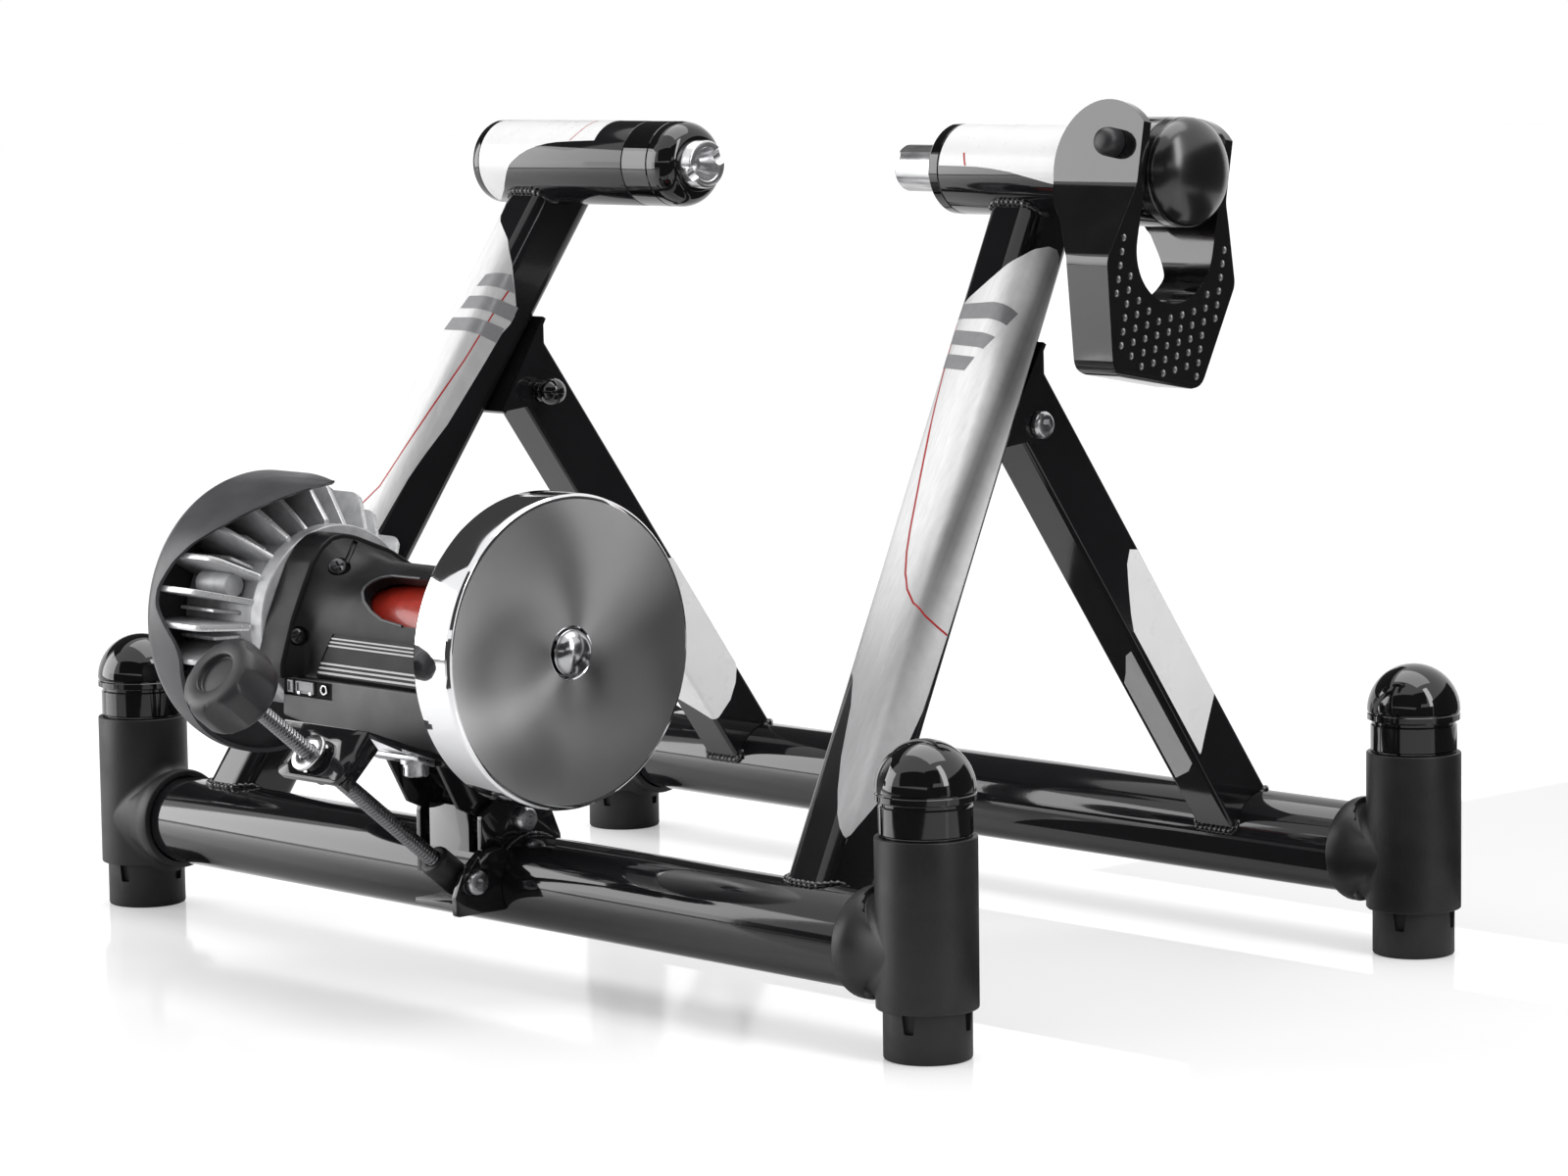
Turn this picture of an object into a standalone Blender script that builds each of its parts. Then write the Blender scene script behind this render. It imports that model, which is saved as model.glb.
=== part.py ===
"""Folding bicycle trainer: a tube frame on four feet, two axle clamps and a swinging roller unit.

The wheel axle lies along X between the two clamp cups.  Y runs from the near bar to the far bar
and Z up.  All sizes are in millimetres; MM turns them into metres.  Shapes are drawn with the near
bar at Y = 0, and the parent empty then puts the middle of the footprint at the origin.
"""
import math

import bmesh
import bpy
from mathutils import Matrix, Vector

MM = 0.001
GAP = 0.3                       # between pieces that touch
RUN = 0.6                       # between pieces that pass each other
TUBE_WALL = 2.0

# Floor bars
BAR_R = 22.9
BAR_Z = 49.2
BAR_SPACING = 345.5
FOOT_X = 298.0

# Tees, caps and feet
SLEEVE_WALL = 2.6
SLEEVE_R = BAR_R + 0.8
SLEEVE_LOW = 23.3
SLEEVE_RISE = 53.0              # above the bar's axis
POST_SHOW = 16.1                # neck that shows between tee and cap
CAP_LIP = 4.8
CAP_R = SLEEVE_R - 0.4
CAP_WALL = 2.5
PLUG_R = SLEEVE_R - SLEEVE_WALL - GAP
FOOT_R = SLEEVE_R - 3.2
FOOT_WALL = 6.5
COLLAR_R = BAR_R + 3.6
COLLAR_LEN = 36.0
BAR_END = FOOT_X - SLEEVE_R - GAP

# Legs and struts
LEG_W, LEG_D = 30.6, 35.4
LEG_BASE_X, LEG_TOP_X = 223.4, 181.7
STRUT_W, STRUT_D = 25.7, 31.9
STRUT_X = 186.3
STRUT_SHIFT = 6.5               # strut axis behind the fold pivot
CLEVIS_T, EAR_T, EAR_R = 2.5, 3.0, 10.0
FOLD_ALONG = 274.3              # up the leg
FOLD_REACH = STRUT_D / 2 - 0.25
BOLT_R = 4.0
BALL_R = 7.5

# Axle clamps
HUB_Y, HUB_Z = 195.2, 395.0
HUB_R = 22.5
HUB_WALL = 3.0
WHEEL_X = 21.8
AXLE_GAP = 150.4
CUP_LEFT, CUP_RIGHT = WHEEL_X - AXLE_GAP / 2, WHEEL_X + AXLE_GAP / 2
CUP_R_LEFT, CUP_R_RIGHT = 12.6, 11.8
NOSE_END = CUP_LEFT - 7.6
NOSE_START = NOSE_END - 15.8
RING_START = NOSE_START - 19.6
LEFT_END = RING_START - 123.6
COLLAR_START = CUP_RIGHT + 34.0
HOUSING_START = COLLAR_START + 105.0
HOUSING_R = HUB_R + 3.7
DOME_START = HOUSING_START + 39.3
DOME_LEN = 20.7
END_BAND = 7.0

# Clamp lever
LEVER_TILT = math.radians(-10.0)
PIN_X, PIN_UP, PIN_R = DOME_START - 11.3, 9.0, 4.9
ARM_IN = HOUSING_R + RUN
ARM_OUT = ARM_IN + 5.2
LOBE_OUT, LOBE_R = 8.5, 5.0
CAM_LASH = 0.9

# Roller unit
UNIT_Y, UNIT_Z = -40.0, 173.0
SHAFT_R = 8.0
BORE_R = SHAFT_R + RUN
ROLLER_R = 25.0
CAVITY_R = ROLLER_R + 2.5
HOOD_R = 34.0
BEARING_R, BEARING_W = 15.0, 9.0
FLY_R = 75.6
FLY_FACE = 102.0
FLY_T = 27.0
HOOD_END = FLY_FACE - FLY_T - 1.0
ARCH_START, ARCH_END = -80.0, -60.0
ROLLER_START, ROLLER_END = -28.0, HOOD_END - 14.0
BRAKE_Y, BRAKE_Z = UNIT_Y + 4.0, UNIT_Z + 1.0
DRUM_R = 45.0
FIN_R = 69.0
FIN_T = 2.4
FIN_STEP = 15
COVER_START = -152.0
COVER_WALL = 2.2
SPLIT_Z = UNIT_Z - 22.0         # between hood and lower housing
PLATE_T = 3.0
PLATE_Y, PLATE_Z = UNIT_Y - 36.0, UNIT_Z - 53.0
PLATE_SLOPE = 0.374
PLATE_LEFT = -23.7
LOWER_LIFT = 8.0                # left end of the lower housing's underside
SEAT = 0.1                      # where a housing stands on its plate

# Unit pivot and adjusting rod
EYE_R = 7.5
PIVOT_Y, PIVOT_Z = -4.0, BAR_Z + BAR_R + EYE_R + 0.9
ROD_X = 13.0
ROD_R = 4.2
ROD_Y, ROD_Z = -BAR_R - 17.1, BAR_Z + 4.8
ROD_ANGLE = math.radians(140.9)
ROD_RUN = Vector((math.cos(ROD_ANGLE), math.sin(ROD_ANGLE)))
ROD_UP = Vector((math.sin(ROD_ANGLE), -math.cos(ROD_ANGLE)))
LUG_TOP, LUG_LOW = 17.0, -12.0
LUG_HOLE = 8.8
KNOB_R = 22.0
KNOB_GAP = 46.5                 # lug to knob


def plate_z(y):
    """Height of the sloping base plate's underside."""
    return PLATE_Z + (PLATE_Y - y) * PLATE_SLOPE


# The lug stands square to the rod, where its top edge meets the middle of the base plate.
lug_rise = plate_z(ROD_Y + ROD_UP.x * LUG_TOP) + PLATE_T / 2 - ROD_Z - ROD_UP.y * LUG_TOP
LUG_AT = lug_rise / (ROD_RUN.y + PLATE_SLOPE * ROD_RUN.x)
KNOB_AT = LUG_AT + KNOB_GAP
KNOB_LEN = 30.0

LEG_BASE = (5.3, BAR_Z + 5.8)
LEG_TOP = (HUB_Y, HUB_Z - 22.0)
LEG_RUN = (Vector(LEG_TOP) - Vector(LEG_BASE)).normalized()
LEG_NORMAL = Vector((LEG_RUN.y, -LEG_RUN.x))


def from_leg(along, out):
    """Point (y, z) up the leg's axis and out behind it."""
    p = Vector(LEG_BASE) + LEG_RUN * along + LEG_NORMAL * out
    return (p.x, p.y)


WEB_NEAR = LEG_D / 2 + GAP
FOLD_OUT = WEB_NEAR + CLEVIS_T + FOLD_REACH
FOLD_Y, FOLD_Z = from_leg(FOLD_ALONG, FOLD_OUT)

knob_low = ROD_Y + ROD_RUN.x * (KNOB_AT + KNOB_LEN) - ROD_UP.x * KNOB_R
FOOTPRINT_Y = (BAR_SPACING + COLLAR_R + knob_low) / 2

for old in list(bpy.data.objects):
    bpy.data.objects.remove(old, do_unlink=True)

parts = bpy.data.collections.new("bike_trainer")
tools = bpy.data.collections.new("cutters")
bpy.context.scene.collection.children.link(parts)
bpy.context.scene.collection.children.link(tools)
base_frame = bpy.data.objects.new("footprint_middle", None)
base_frame.location = (0.0, -FOOTPRINT_Y * MM, 0.0)
parts.objects.link(base_frame)

FINISH = {
    "black_gloss": ((0.012, 0.012, 0.014), 0.0, 0.12),
    "black_matte": ((0.03, 0.03, 0.032), 0.0, 0.6),
    "grey_matte": ((0.05, 0.05, 0.053), 0.0, 0.5),
    "rubber": ((0.02, 0.02, 0.02), 0.0, 0.75),
    "chrome": ((0.85, 0.85, 0.86), 1.0, 0.08),
    "steel": ((0.5, 0.5, 0.52), 1.0, 0.3),
    "alu": ((0.62, 0.63, 0.65), 1.0, 0.35),
    "red": ((0.55, 0.03, 0.02), 0.0, 0.45),
}


# Drawing helpers
def paint(obj, finish):
    color, metallic, roughness = FINISH[finish]
    mat = bpy.data.materials.new(obj.name + "_finish")
    mat.use_nodes = True
    bsdf = mat.node_tree.nodes["Principled BSDF"]
    bsdf.inputs["Base Color"].default_value = (*color, 1.0)
    bsdf.inputs["Metallic"].default_value = metallic
    bsdf.inputs["Roughness"].default_value = roughness
    obj.data.materials.append(mat)


def place(name, bm, finish, origin=(0.0, 0.0, 0.0)):
    """Make a named object from a millimetre bmesh, with its origin at the given point."""
    bmesh.ops.remove_doubles(bm, verts=bm.verts, dist=1e-5)
    bmesh.ops.recalc_face_normals(bm, faces=bm.faces)
    bm.transform(Matrix.Scale(MM, 4) @ Matrix.Translation(-Vector(origin)))
    mesh = bpy.data.meshes.new(name)
    bm.to_mesh(mesh)
    bm.free()
    mesh.shade_smooth()
    mesh.set_sharp_from_angle(angle=math.radians(35))
    obj = bpy.data.objects.new(name, mesh)
    obj.location = Vector(origin) * MM
    obj.parent = base_frame
    if finish:
        parts.objects.link(obj)
        paint(obj, finish)
    else:
        tools.objects.link(obj)
        obj.hide_render = True
        obj.display_type = "WIRE"
    return obj


def combine(obj, bm, operation="DIFFERENCE"):
    """Cut, join or intersect a part with a millimetre bmesh."""
    number = len(tools.objects) + 1
    mod = obj.modifiers.new(f"{operation.lower()}_{number:03d}", "BOOLEAN")
    mod.operation = operation
    mod.solver = "EXACT"
    mod.object = place(f"tool_{number:03d}", bm, None)


def aim(origin, direction):
    """Matrix that stands local Z along a direction."""
    turn = Vector(direction).normalized().to_track_quat("Z", "Y").to_matrix().to_4x4()
    return Matrix.Translation(Vector(origin)) @ turn


def along_x(y, z):
    return aim((0.0, y, z), (1.0, 0.0, 0.0))


def lathe(profile, matrix, seg=28, closed=False):
    """Spin (distance, radius) points round local Z; closed joins the last to the first."""
    bm = bmesh.new()
    verts = [bm.verts.new((r, 0.0, a)) for a, r in profile]
    pairs = list(zip(verts, verts[1:]))
    if closed:
        pairs.append((verts[-1], verts[0]))
    edges = [bm.edges.new(pair) for pair in pairs]
    bmesh.ops.spin(bm, geom=verts + edges, cent=(0, 0, 0), axis=(0, 0, 1),
                   angle=math.tau, steps=seg, use_merge=True)
    bmesh.ops.remove_doubles(bm, verts=bm.verts, dist=1e-4)
    bm.transform(matrix)
    return bm


def rod(a0, a1, radius, matrix, seg=24):
    return lathe([(a0, 0.0), (a0, radius), (a1, radius), (a1, 0.0)], matrix, seg)


def pipe(a0, a1, outer, inner, matrix, seg=28):
    return lathe([(a0, inner), (a0, outer), (a1, outer), (a1, inner)], matrix, seg, closed=True)


YZ = Matrix(((0, 0, 1, 0), (1, 0, 0, 0), (0, 1, 0, 0), (0, 0, 0, 1)))
XZ = Matrix(((1, 0, 0, 0), (0, 0, 1, 0), (0, 1, 0, 0), (0, 0, 0, 1)))
XY = Matrix.Identity(4)


def prism(outline, w0, w1, matrix=YZ):
    """Extrude a flat outline (u, v) from w0 to w1; YZ lays u, v, w on Y, Z, X."""
    bm = bmesh.new()
    face = bm.faces.new([bm.verts.new((u, v, w0)) for u, v in outline])
    top = bmesh.ops.extrude_face_region(bm, geom=[face])
    moved = [v for v in top["geom"] if isinstance(v, bmesh.types.BMVert)]
    bmesh.ops.translate(bm, verts=moved, vec=(0.0, 0.0, w1 - w0))
    bm.transform(matrix)
    return bm


def box(x0, x1, y0, y1, z0, z1):
    return prism([(y0, z0), (y1, z0), (y1, z1), (y0, z1)], x0, x1)


def arc(cu, cv, radius, start, end, steps):
    angles = [math.radians(start + (end - start) * i / steps) for i in range(steps + 1)]
    return [(cu + radius * math.cos(a), cv + radius * math.sin(a)) for a in angles]


def rounded(width, depth, radius, steps=3):
    w, d = width / 2 - radius, depth / 2 - radius
    return (arc(w, d, radius, 0, 90, steps) + arc(-w, d, radius, 90, 180, steps)
            + arc(-w, -d, radius, 180, 270, steps) + arc(w, -d, radius, 270, 360, steps))


def merge(*meshes):
    """Put several separate bmeshes into one."""
    out = bmesh.new()
    for bm in meshes:
        mesh = bpy.data.meshes.new("piece")
        bm.to_mesh(mesh)
        bm.free()
        out.from_mesh(mesh)
        bpy.data.meshes.remove(mesh)
    return out


def tube_frame(start, end):
    """Matrix whose Z runs from start to end and whose X stays close to world X."""
    t = (Vector(end) - Vector(start)).normalized()
    ux = (Vector((1, 0, 0)) - t * t.x).normalized()
    rot = Matrix((ux, t.cross(ux), t)).transposed().to_4x4()
    return Matrix.Translation(Vector(start)) @ rot


# Floor bars, tees, caps and feet
def build_bars():
    for name, y in (("near_bar", 0.0), ("far_bar", BAR_SPACING)):
        place(name, pipe(-BAR_END, BAR_END, BAR_R, BAR_R - TUBE_WALL, along_x(y, BAR_Z)),
              "black_gloss", (0.0, y, BAR_Z))


def build_tee(tag, side, y):
    x = side * FOOT_X
    up = Matrix.Translation((x, y, 0.0))
    out = aim((0.0, y, BAR_Z), (side, 0.0, 0.0))
    top = BAR_Z + SLEEVE_RISE
    mouth = FOOT_X - COLLAR_LEN
    slim = SLEEVE_R - 0.2
    tee = place("tee_" + tag, rod(SLEEVE_LOW, top, SLEEVE_R, up), "black_matte", (x, y, BAR_Z))
    branch = [(mouth, 0), (mouth, COLLAR_R - 1), (mouth + 1, COLLAR_R), (mouth + 6, COLLAR_R),
              (mouth + 15, slim), (FOOT_X - 1, slim), (FOOT_X - 1, 0)]
    combine(tee, lathe(branch, out, 24), "UNION")
    combine(tee, rod(SLEEVE_LOW - 5, top + 5, SLEEVE_R - SLEEVE_WALL, up))
    combine(tee, rod(mouth - 5, BAR_END + GAP, BAR_R + GAP, out))


def build_cap(tag, side, y):
    x = side * FOOT_X
    low = BAR_Z + 12.8
    lip = BAR_Z + SLEEVE_RISE + POST_SHOW
    base = lip + CAP_LIP
    bore = PLUG_R - CAP_WALL
    dome = arc(0, 0, 1.0, 0, 90, 5)
    outer = [(base + CAP_R * s, CAP_R * c) for c, s in dome[:-1]] + [(base + CAP_R, 0.0)]
    inner = [(base + bore * s, bore * c) for c, s in reversed(dome[:-1])]
    profile = ([(low, bore), (low, PLUG_R), (lip, PLUG_R), (lip, CAP_R)] + outer
               + [(base + bore, 0.0)] + inner + [(low, bore)])
    place("cap_" + tag, lathe(profile, Matrix.Translation((x, y, 0)), 20), "black_gloss", (x, y, lip))


def build_foot(tag, side, y):
    x = side * FOOT_X
    up = Matrix.Translation((x, y, 0.0))
    bore = FOOT_R - FOOT_WALL
    step = SLEEVE_LOW - GAP
    top = BAR_Z + 8.8
    foot = place("foot_" + tag, lathe([(0.0, bore), (0.0, FOOT_R), (step, FOOT_R), (step, PLUG_R),
                                       (top, PLUG_R), (top, bore)], up, 20, closed=True),
                 "black_matte", (x, y, 0.0))
    for k in range(4):
        slot = box(FOOT_R - 2.5, FOOT_R + 3, -3.0, 3.0, SLEEVE_LOW - 10.8, SLEEVE_LOW - 2.3)
        slot.transform(up @ Matrix.Rotation(math.radians(19.6 + 90 * k), 4, "Z"))
        combine(foot, slot)


# Legs, struts and fold hinges
def build_leg(tag, side):
    base = (side * LEG_BASE_X, *LEG_BASE)
    top = (side * LEG_TOP_X, *LEG_TOP)
    frame = tube_frame(base, top)
    length = (Vector(top) - Vector(base)).length
    leg = place("leg_" + tag, prism(rounded(LEG_W, LEG_D, 4.5), -7.0, length + 26.0, frame),
                "black_gloss", base)
    inside = rounded(LEG_W - 2 * TUBE_WALL, LEG_D - 2 * TUBE_WALL, 2.5)
    combine(leg, prism(inside, -20.0, length + 40.0, frame))
    combine(leg, rod(-FOOT_X, FOOT_X, BAR_R + GAP, along_x(0.0, BAR_Z), 28))
    combine(leg, rod(-FOOT_X, FOOT_X, HUB_R + GAP, along_x(HUB_Y, HUB_Z), 28))
    combine(leg, box(-FOOT_X, FOOT_X, HUB_Y - 95, HUB_Y + 105, HUB_Z - 11, HUB_Z + 85))


def build_strut(tag, side):
    x = side * STRUT_X
    base, top = (x, BAR_SPACING, BAR_Z), (x, FOLD_Y + STRUT_SHIFT, FOLD_Z)
    frame = tube_frame(base, top)
    length = (Vector(top) - Vector(base)).length
    strut = place("strut_" + tag, prism(rounded(STRUT_W, STRUT_D, 3.5), -9.0, length + 60.0, frame),
                  "black_gloss", (x, FOLD_Y, FOLD_Z))
    inside = rounded(STRUT_W - 2 * TUBE_WALL, STRUT_D - 2 * TUBE_WALL, 1.5)
    combine(strut, prism(inside, -20.0, length + 80.0, frame))
    combine(strut, rod(-FOOT_X, FOOT_X, BAR_R + GAP, along_x(BAR_SPACING, BAR_Z), 28))
    end = FOLD_OUT - FOLD_REACH + 1.2
    combine(strut, prism([from_leg(FOLD_ALONG - 90, end), from_leg(FOLD_ALONG + 90, end),
                          from_leg(FOLD_ALONG + 90, -60), from_leg(FOLD_ALONG - 90, -60)],
                         x - STRUT_W, x + STRUT_W))
    combine(strut, rod(x - STRUT_W, x + STRUT_W, BOLT_R + GAP, along_x(FOLD_Y, FOLD_Z), 12))


def build_fold_hinge(tag, side):
    """Bracket on the back of a leg whose two ears hold the strut, with its bolt and ball nut."""
    x = side * STRUT_X
    inner = STRUT_W / 2 + GAP
    outer = inner + EAR_T
    low, high = FOLD_ALONG - 22, FOLD_ALONG + 36
    far = WEB_NEAR + CLEVIS_T
    web = [from_leg(low, WEB_NEAR), from_leg(high, WEB_NEAR), from_leg(high, far), from_leg(low, far)]
    clevis = place("clevis_" + tag, prism(web, x - outer, x + outer), "black_gloss",
                   (x, FOLD_Y, FOLD_Z))
    ear = [from_leg(low, WEB_NEAR + 0.2), from_leg(high, WEB_NEAR + 0.2)]
    for k in range(7):
        a = math.radians(100 - 200 * k / 6)
        ear.append(from_leg(FOLD_ALONG + EAR_R * math.sin(a), FOLD_OUT + EAR_R * math.cos(a)))
    combine(clevis, merge(prism(ear, x - outer, x - inner), prism(ear, x + inner, x + outer)), "UNION")
    combine(clevis, rod(x - 40, x + 40, BOLT_R + GAP, along_x(FOLD_Y, FOLD_Z), 12))

    pivot = aim((x, FOLD_Y, FOLD_Z), (side, 0, 0))
    head = outer + GAP
    neck = -head
    ball_at = neck - 9.55
    shank = neck - 7.55
    place("fold_bolt_" + tag, lathe([(shank, 0), (shank, BOLT_R), (head, BOLT_R), (head, 6.8),
                                     (head + 2.0, 6.6), (head + 3.6, 5.0), (head + 4.2, 0)],
                                    pivot, 16), "steel", (x, FOLD_Y, FOLD_Z))
    hole = BOLT_R + GAP
    ball = [(ball_at + BALL_R * math.cos(t), BALL_R * math.sin(t))
            for t in (math.radians(180 - 20 * k) for k in range(8))]
    place("fold_nut_" + tag, lathe([(ball[0][0], 0.0)] + ball[1:] + [(neck, 6.0), (neck, hole),
                                    (shank - 1, hole), (shank - 1, 0.0)], pivot, 16),
          "black_matte", (x, FOLD_Y, FOLD_Z))


# Axle clamps
def notch(cup, face, side, angle):
    """Round notch across a cup's rim for the skewer's lever."""
    a = math.radians(angle)
    centre = Vector((face + side * 1.5, HUB_Y, HUB_Z))
    combine(cup, rod(4.0, 20.0, 4.6, aim(centre, (0.0, math.cos(a), math.sin(a))), 12))


def build_left_clamp():
    m = along_x(HUB_Y, HUB_Z)
    inner = HUB_R - HUB_WALL
    plug = inner - GAP
    band = LEFT_END + END_BAND
    place("hub_barrel_left", pipe(band, RING_START - GAP, HUB_R, inner, m), "black_gloss",
          (-LEG_TOP_X, HUB_Y, HUB_Z))
    place("hub_end_left", lathe([(LEFT_END, 0), (LEFT_END, HUB_R - 1.5), (LEFT_END + 1.5, HUB_R),
                                 (band - GAP, HUB_R), (band - GAP, plug), (band + 9, plug),
                                 (band + 9, 0)], m), "black_gloss", (LEFT_END, HUB_Y, HUB_Z))
    bore = CUP_R_LEFT + GAP
    place("adjuster_ring", lathe([(RING_START - 12, bore), (RING_START - 12, plug),
                                  (RING_START, plug), (RING_START, HUB_R),
                                  (NOSE_START - GAP, HUB_R), (NOSE_START - GAP, bore)], m,
                                 closed=True), "black_gloss", (RING_START, HUB_Y, HUB_Z))
    depth = NOSE_END - NOSE_START - 3.8
    drop = HUB_R - bore - GAP
    nose = [(NOSE_START, bore), (NOSE_START, HUB_R)]
    nose += [(NOSE_END - depth * (1 - u), HUB_R - drop + drop * math.sqrt(1 - u * u))
             for u in (0.0, 0.33, 0.62, 0.86, 1.0)]
    place("adjuster_nose", lathe(nose + [(NOSE_END, bore)], m, closed=True), "black_gloss",
          (NOSE_START, HUB_Y, HUB_Z))
    r, x, tail = CUP_R_LEFT, CUP_LEFT, NOSE_START - 73.2
    cup = place("cup_left", lathe([(tail, 0), (tail, r), (x, r), (x, r - 4.0), (x - 4, r - 5.2),
                                   (x - 11, r - 7.6), (x - 11, 0)], m, 24), "chrome",
                (CUP_LEFT, HUB_Y, HUB_Z))
    for angle in (25.0, 205.0):
        notch(cup, CUP_LEFT, 1.0, angle)


def build_right_clamp():
    m = along_x(HUB_Y, HUB_Z)
    inner = HUB_R - HUB_WALL
    plug = inner - GAP
    bore = CUP_R_RIGHT + GAP
    start, band = COLLAR_START, COLLAR_START + END_BAND
    place("hub_collar_right", lathe([(start, bore), (start, HUB_R - 1.0), (start + 1, HUB_R),
                                     (band, HUB_R), (band, plug), (start + 20, plug),
                                     (start + 20, bore)], m, closed=True), "black_gloss",
          (start, HUB_Y, HUB_Z))
    place("hub_barrel_right", pipe(band + GAP, HOUSING_START - GAP, HUB_R, inner, m), "black_gloss",
          (LEG_TOP_X, HUB_Y, HUB_Z))
    r, x = CUP_R_RIGHT, CUP_RIGHT
    neck, tail, stem = HOUSING_START - 21, PIN_X - LOBE_OUT - LOBE_R - CAM_LASH, 7.0
    cup = place("cup_right", lathe([(x + 11, 0), (x + 11, r - 6.8), (x + 4, r - 4.4), (x, r - 3.8),
                                    (x, r), (neck, r), (neck, stem), (tail, stem), (tail, 0)],
                                   m, 24), "chrome", (CUP_RIGHT, HUB_Y, HUB_Z))
    for angle in (155.0, 335.0):
        notch(cup, CUP_RIGHT, -1.0, angle)

    tilt = Matrix.Translation((0, HUB_Y, HUB_Z)) @ Matrix.Rotation(LEVER_TILT, 4, "X")
    pin = aim(tilt @ Vector((PIN_X, 0.0, PIN_UP)), tilt.to_3x3() @ Vector((0, 1, 0)))
    housing = place("cam_housing", pipe(HOUSING_START, DOME_START - GAP, HOUSING_R, HOUSING_R - 7.7,
                                        m), "black_gloss", (HOUSING_START, HUB_Y, HUB_Z))
    combine(housing, rod(-40, 40, PIN_R + 0.5, pin, 16))
    rim = DOME_START + 7.0
    dome = [(DOME_START, 0), (DOME_START, HOUSING_R - 1.2), (DOME_START + 1, HOUSING_R),
            (rim, HOUSING_R)]
    dome += [(rim + (DOME_LEN - 7) * math.sin(t), HOUSING_R * math.cos(t))
             for t in (math.radians(18 * k) for k in range(1, 5))] + [(DOME_START + DOME_LEN, 0)]
    place("end_dome", lathe(dome, m), "chrome", (DOME_START, HUB_Y, HUB_Z))
    build_lever(tilt, pin)


def build_lever(tilt, pin):
    """Forked lever on the cam pin: front outline cut to its side outline."""
    at = tuple(pin.translation)
    front = [(-ARM_OUT, 36), (-ARM_OUT, -10), (-ARM_OUT - 14, -48), (-ARM_OUT + 1, -101),
             (ARM_OUT - 1, -101), (ARM_OUT + 14, -48), (ARM_OUT, -10), (ARM_OUT, 36), (ARM_IN, 36)]
    front += arc(0, -36, ARM_IN, 0, -180, 12) + [(-ARM_IN, 36)]
    fork = prism(front, PIN_X - 50, PIN_X + 30)
    fork.transform(tilt)
    lever = place("lever", fork, "black_gloss", at)
    hub_x, hub_up, cheek = PIN_X - 6.5, PIN_UP - 10.5, 31.5
    side = arc(hub_x, hub_up, cheek, 42, 235, 14)
    side += [(PIN_X - 10, -48), (PIN_X - 10, -101), (PIN_X + 15, -101), (PIN_X + 17, -20)]
    profile = prism(side, -60.0, 60.0, XZ)
    profile.transform(tilt)
    combine(lever, profile, "INTERSECT")
    combine(lever, rod(-50, 50, PIN_R + 0.4, pin, 20))
    cheek_out = ARM_OUT + GAP
    place("lever_pin", lathe([(-cheek_out - 7.2, 0), (-cheek_out - 7.2, 4.5),
                              (-cheek_out - 6.2, 6.3), (-cheek_out - 4.7, 7.0), (-cheek_out, 7.0),
                              (-cheek_out, PIN_R), (ARM_OUT + 1, PIN_R), (ARM_OUT + 1, 0)], pin, 16),
          "rubber", at)
    cam = place("lever_cam", rod(-7.0, 7.0, LOBE_R + 2.5, pin, 20), "steel", at)
    lobe = pin.copy()
    lobe.translation += Vector((-LOBE_OUT, 0, 0))
    combine(cam, rod(-7.0, 7.0, LOBE_R, lobe, 16), "UNION")
    combine(cam, rod(-20.0, 20.0, PIN_R + GAP, pin, 16))


# Brackets on the near bar
def build_brackets():
    front = -BAR_R - 8.0
    z, top = BAR_Z, BAR_Z + BAR_R
    ear = [(front, z + 3), (front, top + 14), (-13, top + 25), (6, top + 23), (14, top + 12),
           (20, top - 2), (21, z + 3)]
    bracket = place("bar_bracket", prism(ear, -28, -25), "black_gloss", (-3, PIVOT_Y, PIVOT_Z))
    combine(bracket, prism(ear, 19, 22), "UNION")
    combine(bracket, box(-27.9, 21.9, front + 0.1, front + 3, z + 3.1, top - 6), "UNION")
    combine(bracket, box(-18, 12, front + 0.2, front + 2.9, z + 11, top + 16), "UNION")
    combine(bracket, rod(-60, 60, BAR_R + GAP, along_x(0, BAR_Z), 28))
    combine(bracket, rod(-60, 60, BOLT_R + GAP, along_x(PIVOT_Y, PIVOT_Z), 12))
    place("pivot_bolt", lathe([(-34, 0), (-34, 5.5), (-28.6, 6.5), (-28.3, BOLT_R), (22.3, BOLT_R),
                               (22.3, 6.6), (24.6, 6.4), (26.6, 5.0), (27, 0)],
                              along_x(PIVOT_Y, PIVOT_Z), 16), "steel", (0, PIVOT_Y, PIVOT_Z))

    y, z, x = ROD_Y, ROD_Z, ROD_X
    hook = place("hook_bracket", box(x - 17, x + 14, y - 12, y + 25, z - 12.5, z - 9.5),
                 "black_gloss", (x, y, z))
    side = [(y - 12, z - 16), (y + 25, z - 16), (y + 25, z + 12), (y + 16, z + 15), (y + 4, z + 15),
            (y - 7, z + 6), (y - 12, z - 6)]
    combine(hook, prism(side, x + 11.1, x + 14.1), "UNION")
    combine(hook, rod(-60, 60, BAR_R + GAP, along_x(0, BAR_Z), 28))
    combine(hook, rod(x, x + 40, BOLT_R + GAP, along_x(y, z), 12))
    place("block_pin", lathe([(x - 9.5, 0), (x - 9.5, BOLT_R), (x + 14.4, BOLT_R), (x + 14.4, 6.0),
                              (x + 17.5, 6.0), (x + 18, 5.4), (x + 18, 0)], along_x(y, z), 16),
          "steel", (x, y, z))


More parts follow.
